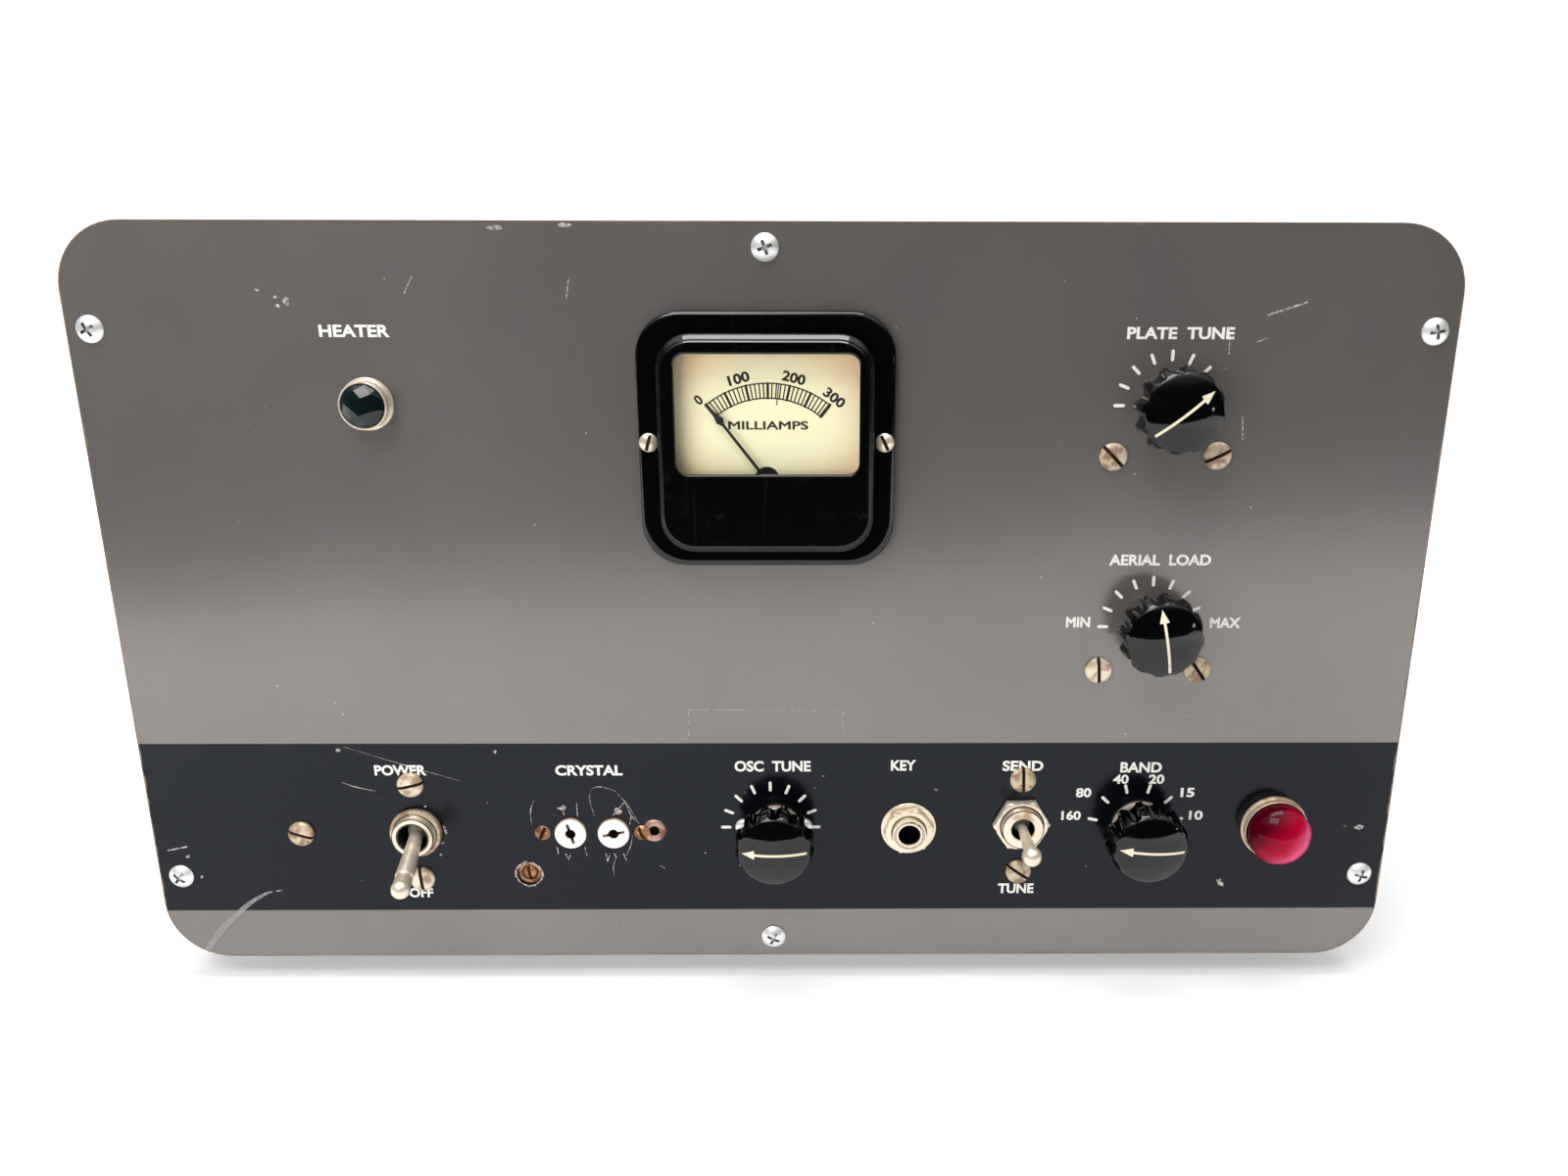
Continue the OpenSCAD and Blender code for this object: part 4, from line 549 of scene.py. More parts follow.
NODE_FINISHES = (
    (PAINT, ("front_panel",)),
    (case_paint(), ("cabinet_shell", "rear_cover")),
    (rubber(), ("rubber_feet", "line_grommet")),
    (ZINC, ("panel_screws", "cabinet_screws")),
    (PLATED_SHEET, ("chassis", "band_frame")),
    (BAKELITE, ("meter_case", "meter_barrel", "plate_knob", "loading_knob", "oscillator_knob", "band_knob",
                "fuse_holder", "tube_sockets")),
    (clear_glass("meter_window", (200, 206, 204), 0.008), ("meter_glass",)),
    (clear_glass("bulb_glass", (214, 222, 222), 0.24), ("rectifier_tube", "final_tubes", "pilot_lamps")),
    (dial_card(), ("meter_dial",)),
    (metal("magnet_steel", (150, 150, 152), (92, 88, 84), 0.35, 0.3), ("meter_movement",)),
    (NEEDLE_BLACK, ("meter_pointer",)),
    (NICKEL, ("meter_screws", "power_lever", "power_ring_nut", "mode_lever", "mode_hex_nut", "key_jack",
              "key_nut", "key_washer", "filament_bezel", "transmit_bezel", "antenna_connector",
              "bushing_nuts")),
    (OLD_SCREW, ("slotted_screws",)),
    (ALUMINIUM, ("plate_rotor", "plate_frame", "plate_stator", "loading_rotor", "loading_frame",
                 "loading_stator", "oscillator_rotor", "oscillator_frame", "oscillator_stator", "band_rotor",
                 "filter_capacitor")),
    (moulded("steatite", (232, 226, 212), (200, 190, 170), 0.35, 0.2), ("coil_posts",)),
    (moulded("phenolic", (110, 70, 40), (140, 100, 66), 0.4, 0.1), ("band_wafers",)),
    (moulded("switch_body", (44, 34, 28), (82, 68, 56), 0.35, 0.3), ("power_switch", "mode_switch")),
    (CERAMIC, ("crystal_socket",)),
    (BRASS, ("brass_screws", "crystal_contacts")),
    (GREEN_GLASS, ("filament_jewel",)),
    (RED_GLASS, ("transmit_jewel",)),
    (laminated_iron(), ("power_transformer", "filter_choke")),
    (metal("copper", (226, 150, 112), (140, 84, 60), 0.24, 0.3), ("tank_coil",)),
)
for finish, names in NODE_FINISHES:
    for name in names:
        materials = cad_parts[name].data.materials
        materials.clear()
        materials.append(finish)


# Printed legends and the marks round the knobs

def panel_legends():
    bm = bmesh.new()
    words = (
        ("HEATER", -104.8, 182.4, 3.1, 17.9), ("PLATE  TUNE", 106.3, 182.2, 3.1, 27.6),
        ("AERIAL  LOAD", 105.7, 121.9, 3.1, 27.6), ("MIN", 84.5, 104.2, 3.0, 6.6),
        ("MAX", 125.0, 104.0, 3.0, 8.4), ("POWER", -105.1, 60.1, 3.2, 14.6),
        ("OFF", -102.8, 21.0, 3.0, 7.0), ("CRYSTAL", -51.8, 60.0, 3.2, 19.0),
        ("OSC  TUNE", 0.3, 61.2, 3.3, 21.6), ("KEY", 37.4, 61.4, 3.2, 7.1), ("SEND", 71.4, 61.2, 3.2, 11.6),
        ("TUNE", 71.1, 22.0, 3.2, 10.5), ("BAND", 105.1, 60.7, 3.2, 11.8),
    )
    for text, x, z, cap, length in words:
        write(bm, text, x, z, cap, length)
    bands = (("160", 86.0, 45.6, 5.6), ("80", 89.2, 52.8, 4.4), ("40", 99.6, 57.0, 4.4),
             ("20", 109.8, 57.0, 4.4), ("15", 119.0, 52.8, 4.0), ("10", 122.0, 45.6, 4.0))
    for text, x, z, length in bands:
        write(bm, text, x, z, 2.9, length)
    finish_piece("panel_legends", bm, WHITE_INK, "painted_panel")


def panel_ticks():
    bm = bmesh.new()
    nine = [22.5 * i - 90 for i in range(9)]
    six = (-78, -46, -15, 15, 46, 78)
    dials = ((104.65, 163.61, 14.46, nine[:7]), (104.38, 102.94, 14.5, nine[:8]),
             (-0.47, 42.08, 14.32, nine), (104.62, 41.75, 14.08, six))
    for x, z, reach, angles in dials:
        for angle in angles:
            way = heading(angle)
            centre = Vector((x, z))
            bar(bm, centre + way * (reach - 2.6), centre + way * (reach - 0.4), 0.85, -INK, INK / 2)
    finish_piece("panel_ticks", bm, WHITE_INK, "painted_panel")


# Knobs

KNOB_FACE_R = 9.85
KNOB_SIDE_H = 11.3
KNOB_DOME_H = 2.1
KNOB_LIFT = 3.2
KNOB_FLUTES = 12
FLUTE_R = 2.2
FLUTE_FLOOR = 9.75
KNOBS = (
    ("plate", "plate_tuning", 104.8, 163.8, 51.0, 4.4),
    ("loading", "antenna_loading", 104.8, 103.8, -11.0, 4.4),
    ("oscillator", "oscillator_tuning", 1.0, 41.8, -90.0, 4.4),
    ("band", "band_selector", 105.8, 42.2, -88.0, 3.2),
)


def fluted(r, turn):
    """The radius of a round side with a row of straight hollows whose edges are soft."""
    axis_r = FLUTE_FLOOR + FLUTE_R
    pitch = 360 / KNOB_FLUTES
    soft = 0.25

    def radius(angle):
        swing = math.radians((angle - turn + pitch / 2) % pitch - pitch / 2)
        aside = axis_r * math.sin(swing)
        if abs(aside) >= FLUTE_R:
            return r
        hollow = axis_r * math.cos(swing) - math.sqrt(FLUTE_R ** 2 - aside ** 2)
        blend = max(soft - abs(r - hollow), 0.0)
        return min(r, hollow) - blend * blend / soft / 4
    return radius


def dome_height(r):
    curve_r = (KNOB_FACE_R ** 2 + KNOB_DOME_H ** 2) / (2 * KNOB_DOME_H)
    return KNOB_SIDE_H + KNOB_DOME_H - curve_r + math.sqrt(curve_r ** 2 - r ** 2)


def knob(name, body, x, z, aim, back):
    """Hub, tapered grip with flutes that run out at the face, and a domed face."""
    profile = [(0, 9.5), (3.25, 9.5), (3.25, 2.6), (5.55, 2.6), (5.55, 0.0), (7.2, 0.0), (7.4, 0.2)]
    profile.append((7.4, back))
    levels = ((back, 10.8), (back + 0.1, 11.15), (back + 0.35, 11.34), (7.0, 11.22), (8.2, 11.08),
              (9.2, 10.9), (9.9, 10.7), (10.4, 10.48), (10.8, 10.22), (11.08, 10.0))
    profile += [(fluted(r, aim), h) for h, r in levels]
    profile += [(9.88, 11.2), (9.74, 11.32)]
    profile += [(r, dome_height(r)) for r in (9.5, 8.8, 7.5, 6.0, 4.5, 3.0, 1.5)]
    profile += [(0, dome_height(0))]
    turned_piece(name + "_grip", (x, z), profile, BAKELITE, "bakelite", 288, d=-KNOB_LIFT,
                 replaced=(name + "_knob",), sharp=55, body=body)


def knob_arrow(name, body, x, z, aim):
    """Ivory arrow that lies on the domed face."""
    bm = bmesh.new()
    stations = [(-9.1 + 0.69 * i, 0.36) for i in range(22)]
    stations += [(5.5, 1.3), (6.6, 0.9), (7.7, 0.45), (8.9, 0.02)]
    blade(bm, (x, z), aim, stations, lambda r, layer: -KNOB_LIFT - dome_height(r) - 0.05 * layer)
    finish_piece(name + "_arrow", bm, IVORY_INK, "bakelite", body=body)


def oscillator_screws():
    """Two round heads that show from behind the oscillator knob."""
    bm = bmesh.new()
    for x in (-8.2, 9.2):
        head = [(0, -0.3), (2.4, -0.3)] + fillet([(2.4, 0.0), (2.4, 1.0), (1.7, 1.5), (0, 1.6)], 0.5)
        turned(bm, outward(x, 42.4), head)
    finish_piece("oscillator_screws", bm, ZINC, "old_screw")


def shaft_nuts():
    """Nuts on the bushings of the oscillator and band shafts; the band's one stands on a round flange."""
    bm = bmesh.new()
    corner_r = 7.33
    side = hexagon(corner_r, 0.0, corner_r)
    for x, z, flange_r in ((1.0, 41.8, 7.3), (105.8, 42.2, 7.9)):
        spin = outward(x, z)
        turned(bm, spin, fillet([(5.0, 0.0), (5.0, 1.4), (flange_r, 1.4), (flange_r, 0.0)], 0.25), 96)
        profile = [(4.76, 1.0), (4.76, 2.1), (5.0, 2.4), (6.25, 2.4), (hexagon(corner_r, 0.0, 6.6), 2.3),
                   (side, 1.9), (side, 1.0)]
        turned(bm, spin, profile, 144)
    finish_piece("shaft_nuts", bm, NICKEL, "nickel", ("bushing_nuts",), 28)


# Meter

METER_Z = 154.4
METER_HALF = 33.35
METER_CORNER = 11.5
DIAL_D = -4.0
WINDOW_X = 0.45
WINDOW_Z = 162.4
PIVOT_Z = 145.0
SCALE_X = 0.45
SCALE_Z = 144.3


def meter_front():
    """Moulded case: flange, bevelled shoulder that is slimmer at its sides, thin lip and window."""
    bm = bmesh.new()
    face_d = -10.0
    flange_inner = 29.0
    lip_half = 26.25
    lip_half_w = 26.4
    side_share = 0.63
    flange = fillet([(METER_HALF, -0.2), (METER_HALF, -3.5), (29.5, -3.2)], 2.2, 8)
    shoulder = [(28.4, -3.1), (28.37, -3.4)]
    shoulder += fillet([(28.3, -5.0), (28.2, -7.7), (27.6, -8.4)], 0.3)
    shoulder += fillet([(27.4, -8.6), (26.95, -9.1), (26.8, -9.13)], 0.1)
    lip = [(26.72, -9.15), (26.7, -9.25)]
    lip += fillet([(26.68, -9.4), (26.65, -9.55), (26.5, -9.72)], 0.08)
    lip += fillet([(26.4, -9.83), (lip_half, face_d), (26.0, face_d)], 0.1)
    loops = [rounded_frame(0, METER_Z, METER_HALF, METER_HALF, METER_CORNER, 0.0)]
    for half, d in flange + shoulder + lip:
        half_w = half if half > flange_inner else lip_half_w + (half - lip_half) * side_share
        loops.append(rounded_frame(0, METER_Z, half_w, half, METER_CORNER - (METER_HALF - half) * 0.5, d))
    loops.append(rounded_frame(0, METER_Z, 25.3, 25.3, 7.0, face_d))
    window = ((24.1, 16.0, 3.5, face_d), (23.9, 15.8, 3.4, face_d), (23.52, 15.42, 3.1, -9.88),
              (23.4, 15.3, 3.0, -9.6), (23.4, 15.3, 3.0, -8.55))
    for row in window:
        loops.append(rounded_frame(WINDOW_X, WINDOW_Z, *row))
    loops += [rounded_frame(0, METER_Z, 25.45, 25.45, 6.2, d) for d in (-8.5, 0.0)]
    skin(bm, loops, ring=True)
    finish_piece("meter_front", bm, BAKELITE, "bakelite", ("meter_case",), 50)


def dial_point(r, angle):
    return Vector((SCALE_X, SCALE_Z)) + heading(angle) * r


def meter_scale():
    """Printed arcs, divisions and numbers of the dial."""
    bm = bmesh.new()
    inner = 21.7
    outer = 25.5
    sweep = 38.5
    parts = 30
    layers = (DIAL_D - INK, DIAL_D + INK / 2)
    edge = [sweep * (i / 20 - 1) for i in range(41)]
    for r in (inner, outer):
        outline = [dial_point(r + 0.17, a) for a in edge]
        outline += [dial_point(r - 0.17, a) for a in edge[::-1]]
        plate(bm, outline, *layers)
    for i in range(parts + 1):
        angle = sweep * (2 * i / parts - 1)
        width = 0.9 if i in (0, parts) else 0.65 if i % 5 == 0 else 0.34
        bar(bm, dial_point(inner, angle), dial_point(outer, angle), width, *layers, 3)
    bar(bm, dial_point(inner - 1.6, 6.4), dial_point(outer, 6.4), 0.26, *layers, 3)
    numbers = (("0", -40.0, 1.7), ("100", -15.5, 5.6), ("200", 14.0, 6.0), ("300", 38.0, 6.0))
    for number, angle, length in numbers:
        write(bm, number, *dial_point(27.7, angle), 2.7, length, angle, DIAL_D, 0.034)
    write(bm, "MILLIAMPS", SCALE_X, 159.0, 2.2, 20.6, 0.0, DIAL_D, 0.024)
    finish_piece("meter_scale", bm, BROWN_INK, "dial_paint")


def meter_needle():
    """Thin pointer with a spade near its tip, on the hub of its staff."""
    bm = bmesh.new()
    stations = ((-5.0, 0.5), (-1.0, 0.45), (4.0, 0.4), (18.0, 0.34), (19.4, 1.1), (22.2, 0.3), (25.2, 0.14))
    rest_angle = -37.5
    needle_d = -5.8
    half_thick = 0.2
    blade(bm, (0.0, PIVOT_Z), rest_angle, stations, lambda r, layer: needle_d - half_thick * layer)
    hub = [(0, -9.0), (0.8, -9.0), (0.8, 5.0), (1.7, 5.0), (1.7, 6.2), (1.4, 6.5), (0.7, 6.5), (0.5, 7.0)]
    hub.append((0, 7.1))
    turned(bm, outward(0, PIVOT_Z), hub, 48)
    finish_piece("meter_spade", bm, NEEDLE_BLACK, "pointer", ("meter_pointer",), body="meter_needle")


# Switches and jacks

LEVER_PIVOT_D = 1.0


def collar(name, at, bore, outer, height, bevel, finish):
    """Polished front of a threaded bushing."""
    profile = [(bore, -0.5), (bore, height - bevel), (bore + bevel, height), (outer - 0.35, height),
               (outer, height - 0.45)]
    low = height - 0.9
    while low > 0.6:
        profile += [(outer, low), (outer - 0.22, low - 0.2), (outer, low - 0.4)]
        low -= 0.6
    profile += [(outer, 0.0), (outer, -0.5)]
    turned_piece(name, at, profile, finish)


def ring_nut():
    """Round nut with a knurled rim."""
    def rim(r, depth):
        return lambda angle: r - depth * (0.5 - 0.5 * math.cos(math.radians(angle * 60)))
    profile = [(6.05, 0.0), (6.05, 1.9), (6.3, 2.2), (6.75, 2.2), (rim(7.2, 0.1), 2.0), (rim(7.4, 0.3), 1.75),
               (rim(7.4, 0.3), 0.3), (rim(7.3, 0.2), 0.0)]
    turned_piece("power_ring", POWER_AT, profile, OLD_NICKEL, count=480,
                 replaced=("power_ring_nut",), sharp=30)


def nut(name, at, d, corner_r, turn, height, bore, replaced):
    """Hexagon nut with turned-down corners."""
    flat_r = corner_r * math.cos(math.radians(30))
    side = hexagon(corner_r, turn, corner_r)
    profile = [(bore, 0.0), (bore, height - 0.3), (bore + 0.3, height), (flat_r - 0.1, height),
               (hexagon(corner_r, turn, flat_r + 0.25), height - 0.1), (side, height - 0.55), (side, 0.0)]
    turned_piece(name, at, profile, NICKEL, "nickel", 144, turn, d, replaced=(replaced,), sharp=28)


def lever(name, node, body, at, profile, tip_r):
    """Turned lever that points where its node points, which ends in a ball of a known radius."""
    nearest = min(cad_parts[node].data.vertices, key=lambda v: v.co.y).co
    tip = nearest + Vector((0.0, tip_r * MM, 0.0))
    bm = bmesh.new()
    turned(bm, along(place(at[0], LEVER_PIVOT_D, at[1]), tip), profile, 48)
    finish_piece(name, bm, NICKEL, "nickel", (node,), 30, body)


def ball(r, centre, low, high, steps=10):
    """Part of a ball's profile, between two angles from its axis."""
    angles = [math.radians(low + (high - low) * i / steps) for i in range(steps + 1)]
    return [(r * math.sin(a) if 0 < a < math.pi else 0, centre + r * math.cos(a)) for a in angles]


def levers():
    power_tip = 2.65
    mode_tip = 2.75
    tail = [(0, -9.5), (1.1, -9.5), (1.3, -9.2), (1.3, -3.0)]
    seat = ball(2.9, 0.0, 155.0, 48.0)
    power = tail + seat + [(2.0, 2.6), (2.0, 6.0), (2.15, 10.0), (2.35, 15.0), (2.5, 18.6), (2.5, 19.2)]
    power += [(2.22, 19.6), (2.2, 20.2), (2.42, 20.8)] + ball(power_tip, 23.8, 115.0, 0.0)
    lever("power_bat", "power_lever", "power_toggle", POWER_AT, power, power_tip)
    mode = tail + seat + [(1.45, 3.0), (1.4, 6.0), (1.5, 10.0), (1.7, 15.0), (1.85, 18.2)]
    mode += ball(mode_tip, 20.7, 135.0, 0.0)
    lever("mode_bat", "mode_lever", "mode_toggle", MODE_AT, mode, mode_tip)


def bushing_shade_sleeve(name, at, bore, finish):
    """Painted shade: a dark sleeve inside a switch's bushing."""
    inner = bore - 0.05
    turned_piece(name, at, [(bore, -0.4), (bore, 4.0), (inner, 4.0), (inner, -0.4)], finish)


def jack_shade_disc():
    """Painted shade: a dark disc and sleeve inside the key jack."""
    profile = [(0, 0.4), (3.16, 0.4), (3.16, 4.4), (3.1, 4.4), (3.1, 0.5), (0, 0.5)]
    turned_piece("jack_shade_disc", KEY_AT, profile, HOLLOW_SHADE)


def key_fittings():
    bore = 4.82
    thick = 0.8
    disc = fillet([(bore, 0.0), (7.9, 0.0), (7.9, thick), (bore, thick)], 0.25)
    turned_piece("key_disc", KEY_AT, disc, NICKEL, replaced=("key_washer",))
    nut("key_hex", KEY_AT, -thick, 7.33, 20.0, 2.4, bore, "key_nut")
    collar("key_collar", KEY_AT, 3.18, 4.79, 5.0, 0.5, OLD_NICKEL)


# Crystal socket

CRYSTAL_X = -51.8
CRYSTAL_Z = 40.4
PIN_PITCH = 12.35
SUNK_X = -70.9
SUNK_Z = 27.0


def crystal_trim():
    """Rust-brown rims round the two bosses, and a washer in the sunk hole."""
    bm = bmesh.new()
    for side in (-0.5, 0.5):
        rim = fillet([(4.47, 0.1), (4.47, 0.3), (4.65, 0.3), (4.72, 0.0)], 0.08)
        turned(bm, outward(CRYSTAL_X + side * PIN_PITCH, CRYSTAL_Z), rim)
    turned(bm, outward(SUNK_X, SUNK_Z), fillet([(2.4, -1.5), (2.4, -1.1), (3.5, -1.0), (3.57, -1.5)], 0.1))
    finish_piece("crystal_rims", bm, BRASS, "brass")


def crystal_eyelet():
    """Rolled eyelet of the open hole, partly behind a screw."""
    profile = [(1.5, -0.3), (1.5, 0.25), (1.9, 0.54), (2.6, 0.62), (3.2, 0.42), (3.5, 0.0), (3.5, -0.3)]
    turned_piece("crystal_eyelet", EYELET_AT, profile, EYELET, "brass", 72)


def pin_slots():
    """The middle of each boss and the way its slot runs."""
    for side, turn in ((-0.5, 15.0), (0.5, 102.0)):
        yield Vector((CRYSTAL_X + side * PIN_PITCH, CRYSTAL_Z)), heading(-turn)


def crystal_slot_shade():
    """Painted shade: dark strips and discs in the pin slots of the two bosses, and a dark disc inside the
    eyelet.
    """
    bm = bmesh.new()
    for centre, way in pin_slots():
        bar(bm, centre - way * 2.8, centre + way * 2.8, 1.0, -0.66, -0.3, 3)
        turned(bm, outward(centre.x, centre.y, -0.3), [(0, 0.0), (1.45, 0.0), (1.45, 0.34), (0, 0.34)], 32)
    turned(bm, outward(*EYELET_AT), [(0, 0.02), (1.52, 0.02), (1.52, 0.08), (0, 0.08)], 32)
    finish_piece("crystal_slot_shade", bm, HOLLOW_SHADE, "white_ceramic")


def crystal_leaves():
    """Spring leaves that show in the ends of the two slots."""
    bm = bmesh.new()
    for centre, way in pin_slots():
        for end in (-1, 1):
            bar(bm, centre + way * end * 2.3, centre + way * end * 2.9, 0.5, -0.72, -0.4, 3)
    finish_piece("crystal_leaves", bm, BRASS, "brass")


# Slotted screws

SCREW_HEAD_R = 3.7
SCREW_HEAD_H = 1.6
SCREW_SLOT = 0.95
CLEAN_SCREWS = ((-102.6, 55.7, 13.0), (-101.9, 25.9, 95.0), (90.9, 90.3, 94.0))
WORN_SCREWS = ((-135.2, 40.4, -18.0), (71.6, 57.0, 92.0), (71.5, 27.8, -35.0), (91.0, 150.2, -45.0),
               (118.5, 150.5, 25.0), (118.4, 90.4, -55.0))


def half_heads(bm, x, z, turn):
    """The two halves of a domed head, either side of its slot, which lies at an angle to the level."""
    spin = outward(x, z)
    levels = ((1.0, 0.0), (1.0, 0.4), (0.96, 0.62), (0.86, 0.8), (0.66, 0.93), (0.4, 1.0))
    for start in (90 - turn, 270 - turn):
        loops = []
        for share, high in levels:
            reach = share * SCREW_HEAD_R
            gap = math.degrees(math.asin(SCREW_SLOT / 2 / reach))
            angles = [start + gap + (180 - 2 * gap) * i / 24 for i in range(25)]
            loops.append([spin(reach, a, high * SCREW_HEAD_H) for a in angles])
        skin(bm, loops)


def slotted_heads(name, screws, finish, replaced=()):
    bm = bmesh.new()
    for x, z, turn in screws:
        half_heads(bm, x, z, turn)
    bmesh.ops.holes_fill(bm, edges=bm.edges)
    for x, z, _ in screws:
        turned(bm, outward(x, z), [(0, -8.0), (1.6, -8.0), (1.6, 0.2), (0, 0.2)], 24)
    finish_piece(name, bm, finish, "old_screw", replaced)


def screw_slot_shade():
    """Painted shade in the screws' slots: dark discs under the large heads, dark strips in the small ones."""
    bm = bmesh.new()
    for x, z, _ in CLEAN_SCREWS + WORN_SCREWS:
        floor_r = SCREW_HEAD_R - 0.1
        turned(bm, outward(x, z), [(0, 0.0), (floor_r, 0.0), (floor_r, 0.55), (0, 0.55)], 48)
    small = ((-30.6, METER_Z, -4.1, 2.2, 75.0), (30.6, METER_Z, -4.1, 2.2, 115.0),
             (-66.1, CRYSTAL_Z, -0.5, 2.0, 65.0), (-37.5, CRYSTAL_Z, -0.5, 2.0, 115.0),
             (SUNK_X, SUNK_Z, 1.1, 2.0, 100.0))
    width = 0.86
    for x, z, d, reach, turn in small:
        way = heading(90 - turn) * (reach - width / 2)
        centre = Vector((x, z))
        bar(bm, centre - way, centre + way, width, d - 0.3, d + 0.05, 3)
    finish_piece("screw_slot_shade", bm, BROWN_SHADE, "old_screw")


# Jewels

JEWEL_LIFT = 0.4


def bezel(name, at, jewel_r, rim_h, step, finish):
    """Two-step rim on the tube that holds the lamp."""
    inner_r = jewel_r + 0.05
    tube_r = jewel_r - 0.35
    bore_r = tube_r - 0.7
    front = fillet([(inner_r, JEWEL_LIFT), (inner_r, rim_h), (inner_r + step, rim_h), (inner_r + step, 1.2),
                    (inner_r + 2 * step, 1.2), (inner_r + 2 * step, 0.0), (tube_r, 0.0)], 0.3)
    profile = [(0, -25.0), (bore_r, -25.0), (bore_r, JEWEL_LIFT)] + front + [(tube_r, -26.0), (0, -26.0)]
    turned_piece(name + "_rim", at, profile, finish, replaced=(name + "_bezel",))


def green_jewel():
    """Cut jewel with a small table and two rows of facets."""
    bm = bmesh.new()
    spin = outward(*GREEN_AT, -JEWEL_LIFT)
    turn = 12
    rim_r = 5.55
    table = [bm.verts.new(spin(2.3, 60 * i + turn, 6.2)) for i in range(6)]
    belt = [bm.verts.new(spin(4.3, 60 * i + turn + 30, 5.45)) for i in range(6)]
    rim = [bm.verts.new(spin(rim_r, 30 * i + turn, 4.2)) for i in range(12)]
    foot = [bm.verts.new(spin(rim_r, 30 * i + turn, 0.0)) for i in range(12)]
    bm.faces.new(table)
    bm.faces.new(foot)
    for i in range(6):
        k = (i + 1) % 6
        bm.faces.new((table[i], table[k], belt[i]))
        bm.faces.new((table[k], belt[k], belt[i]))
        bm.faces.new((rim[2 * i], rim[2 * i - 1], belt[i - 1]))
        bm.faces.new((rim[2 * i], rim[2 * i + 1], belt[i]))
        bm.faces.new((belt[i - 1], rim[2 * i], belt[i]))
    for i in range(12):
        k = (i + 1) % 12
        bm.faces.new((rim[i], rim[k], foot[k], foot[i]))
    finish_piece("filament_cut_jewel", bm, GREEN_GLASS, "green_jewel", ("filament_jewel",), 5)


def red_jewel():
    """Smooth dome on a straight side."""
    side_h = 6.6
    dome_h = 5.2
    curve_r = (RED_R ** 2 + dome_h ** 2) / (2 * dome_h)
    profile = [(0, 0.0), (RED_R - 0.2, 0.0), (RED_R, 0.2), (RED_R, side_h - 0.3)]
    for i in range(1, 15):
        reach = RED_R * math.cos(math.pi / 2 * i / 15)
        profile.append((reach, side_h + dome_h - curve_r + math.sqrt(curve_r ** 2 - reach ** 2)))
    profile.append((0, side_h + dome_h))
    turned_piece("transmit_dome", RED_AT, profile, RED_GLASS, "red_jewel", d=-JEWEL_LIFT,
                 replaced=("transmit_jewel",), sharp=60)


# Wear on the panel

def mark_sides(spots, widths):
    """The two sides of a mark along a line, with its own width at each point."""
    left = []
    right = []
    for i, spot in enumerate(spots):
        way = Vector(spots[min(i + 1, len(spots) - 1)]) - Vector(spots[max(i - 1, 0)])
        aside = Vector((-way.y, way.x)).normalized() * widths[i] / 2
        left.append(tuple(Vector(spot) + aside))
        right.append(tuple(Vector(spot) - aside))
    return left, right


def scratch(bm, points, width):
    """A scrape along a bent line, wide in its middle and thin at its ends."""
    line = fillet(points, 40.0, 8) if len(points) > 2 else points
    widths = []
    for i in range(len(line)):
        share = math.sin(math.pi * (i + 0.4) / (len(line) - 0.2))
        widths.append(width * max(share, 0.25) * draw.uniform(0.75, 1.2))
    left, right = mark_sides(line, widths)
    plate(bm, left + right[::-1], -SCRAPE, SCRAPE)


def chip(bm, x, z, wide, high, turn=0.0):
    """A ragged spot where the paint is knocked off."""
    outline = []
    swing = math.radians(turn)
    for i in range(11):
        a = 2 * math.pi * i / 11
        r = draw.uniform(0.65, 1.1) / 2
        across = wide * r * math.cos(a)
        up = high * r * math.sin(a)
        outline.append((x + across * math.cos(swing) - up * math.sin(swing),
                        z + across * math.sin(swing) + up * math.cos(swing)))
    plate(bm, outline, -SCRAPE, SCRAPE)


def panel_wear():
    bm = bmesh.new()
    scratches = (
        (((-144.9, 21.6), (-143.2, 21.9)), 0.6), (((128.0, 186.7), (138.1, 190.1)), 0.9),
        (((126.1, 180.0), (128.6, 181.0)), 0.4), (((118.9, 182.2), (119.1, 176.8)), 0.35),
        (((124.2, 160.8), (124.9, 154.4)), 0.35), (((-88.9, 195.9), (-91.3, 191.6)), 0.4),
        (((-49.6, 195.3), (-50.4, 190.5)), 0.5), (((-174.5, 34.9), (-168.7, 36.1)), 0.6),
        (((-122.0, 56.4), (-118.8, 55.0), (-112.6, 53.6)), 0.4),
        (((-120.4, 67.4), (-104.5, 61.9), (-88.3, 56.7)), 0.2), (((-23.2, 70.4), (-23.0, 78.4)), 0.2),
        (((-22.9, 78.4), (20.0, 78.2)), 0.2), (((20.2, 78.0), (20.2, 70.0)), 0.2),
    )
    for points, width in scratches:
        scratch(bm, points, width)
    chips = (
        (-123.9, 190.8, 1.2, 1.0, 0), (-121.1, 189.8, 2.0, 2.4, 0), (-123.5, 188.6, 1.4, 1.0, 0),
        (-128.2, 192.5, 1.2, 0.6, -25), (-67.2, 207.7, 4.4, 1.6, 4), (-49.9, 208.4, 4.8, 1.2, 2),
        (169.8, 41.7, 3.2, 1.6, 3), (165.6, 42.0, 1.0, 0.7, 0), (131.0, 23.9, 1.6, 3.2, 35),
        (-168.9, 33.0, 1.3, 1.0, 40), (-165.9, 26.3, 0.8, 1.2, -30), (-94.1, 41.3, 1.0, 3.0, 10),
        (-95.1, 37.2, 1.4, 0.7, 20), (-121.9, 66.2, 1.6, 1.2, 10), (-77.9, 65.8, 0.9, 1.2, 0),
        (-96.0, 33.4, 0.8, 0.8, 0), (-99.1, 48.8, 0.9, 0.7, 0),
    )
    for x, z, wide, high, turn in chips:
        chip(bm, x, z, wide, high, turn)
    for _ in range(34):
        size = draw.uniform(0.3, 0.7)
        chip(bm, draw.uniform(-168, 168), draw.uniform(6, 204), size, size * draw.uniform(0.6, 1.3))
    finish_piece("panel_wear", bm, SCRATCH, "painted_panel")


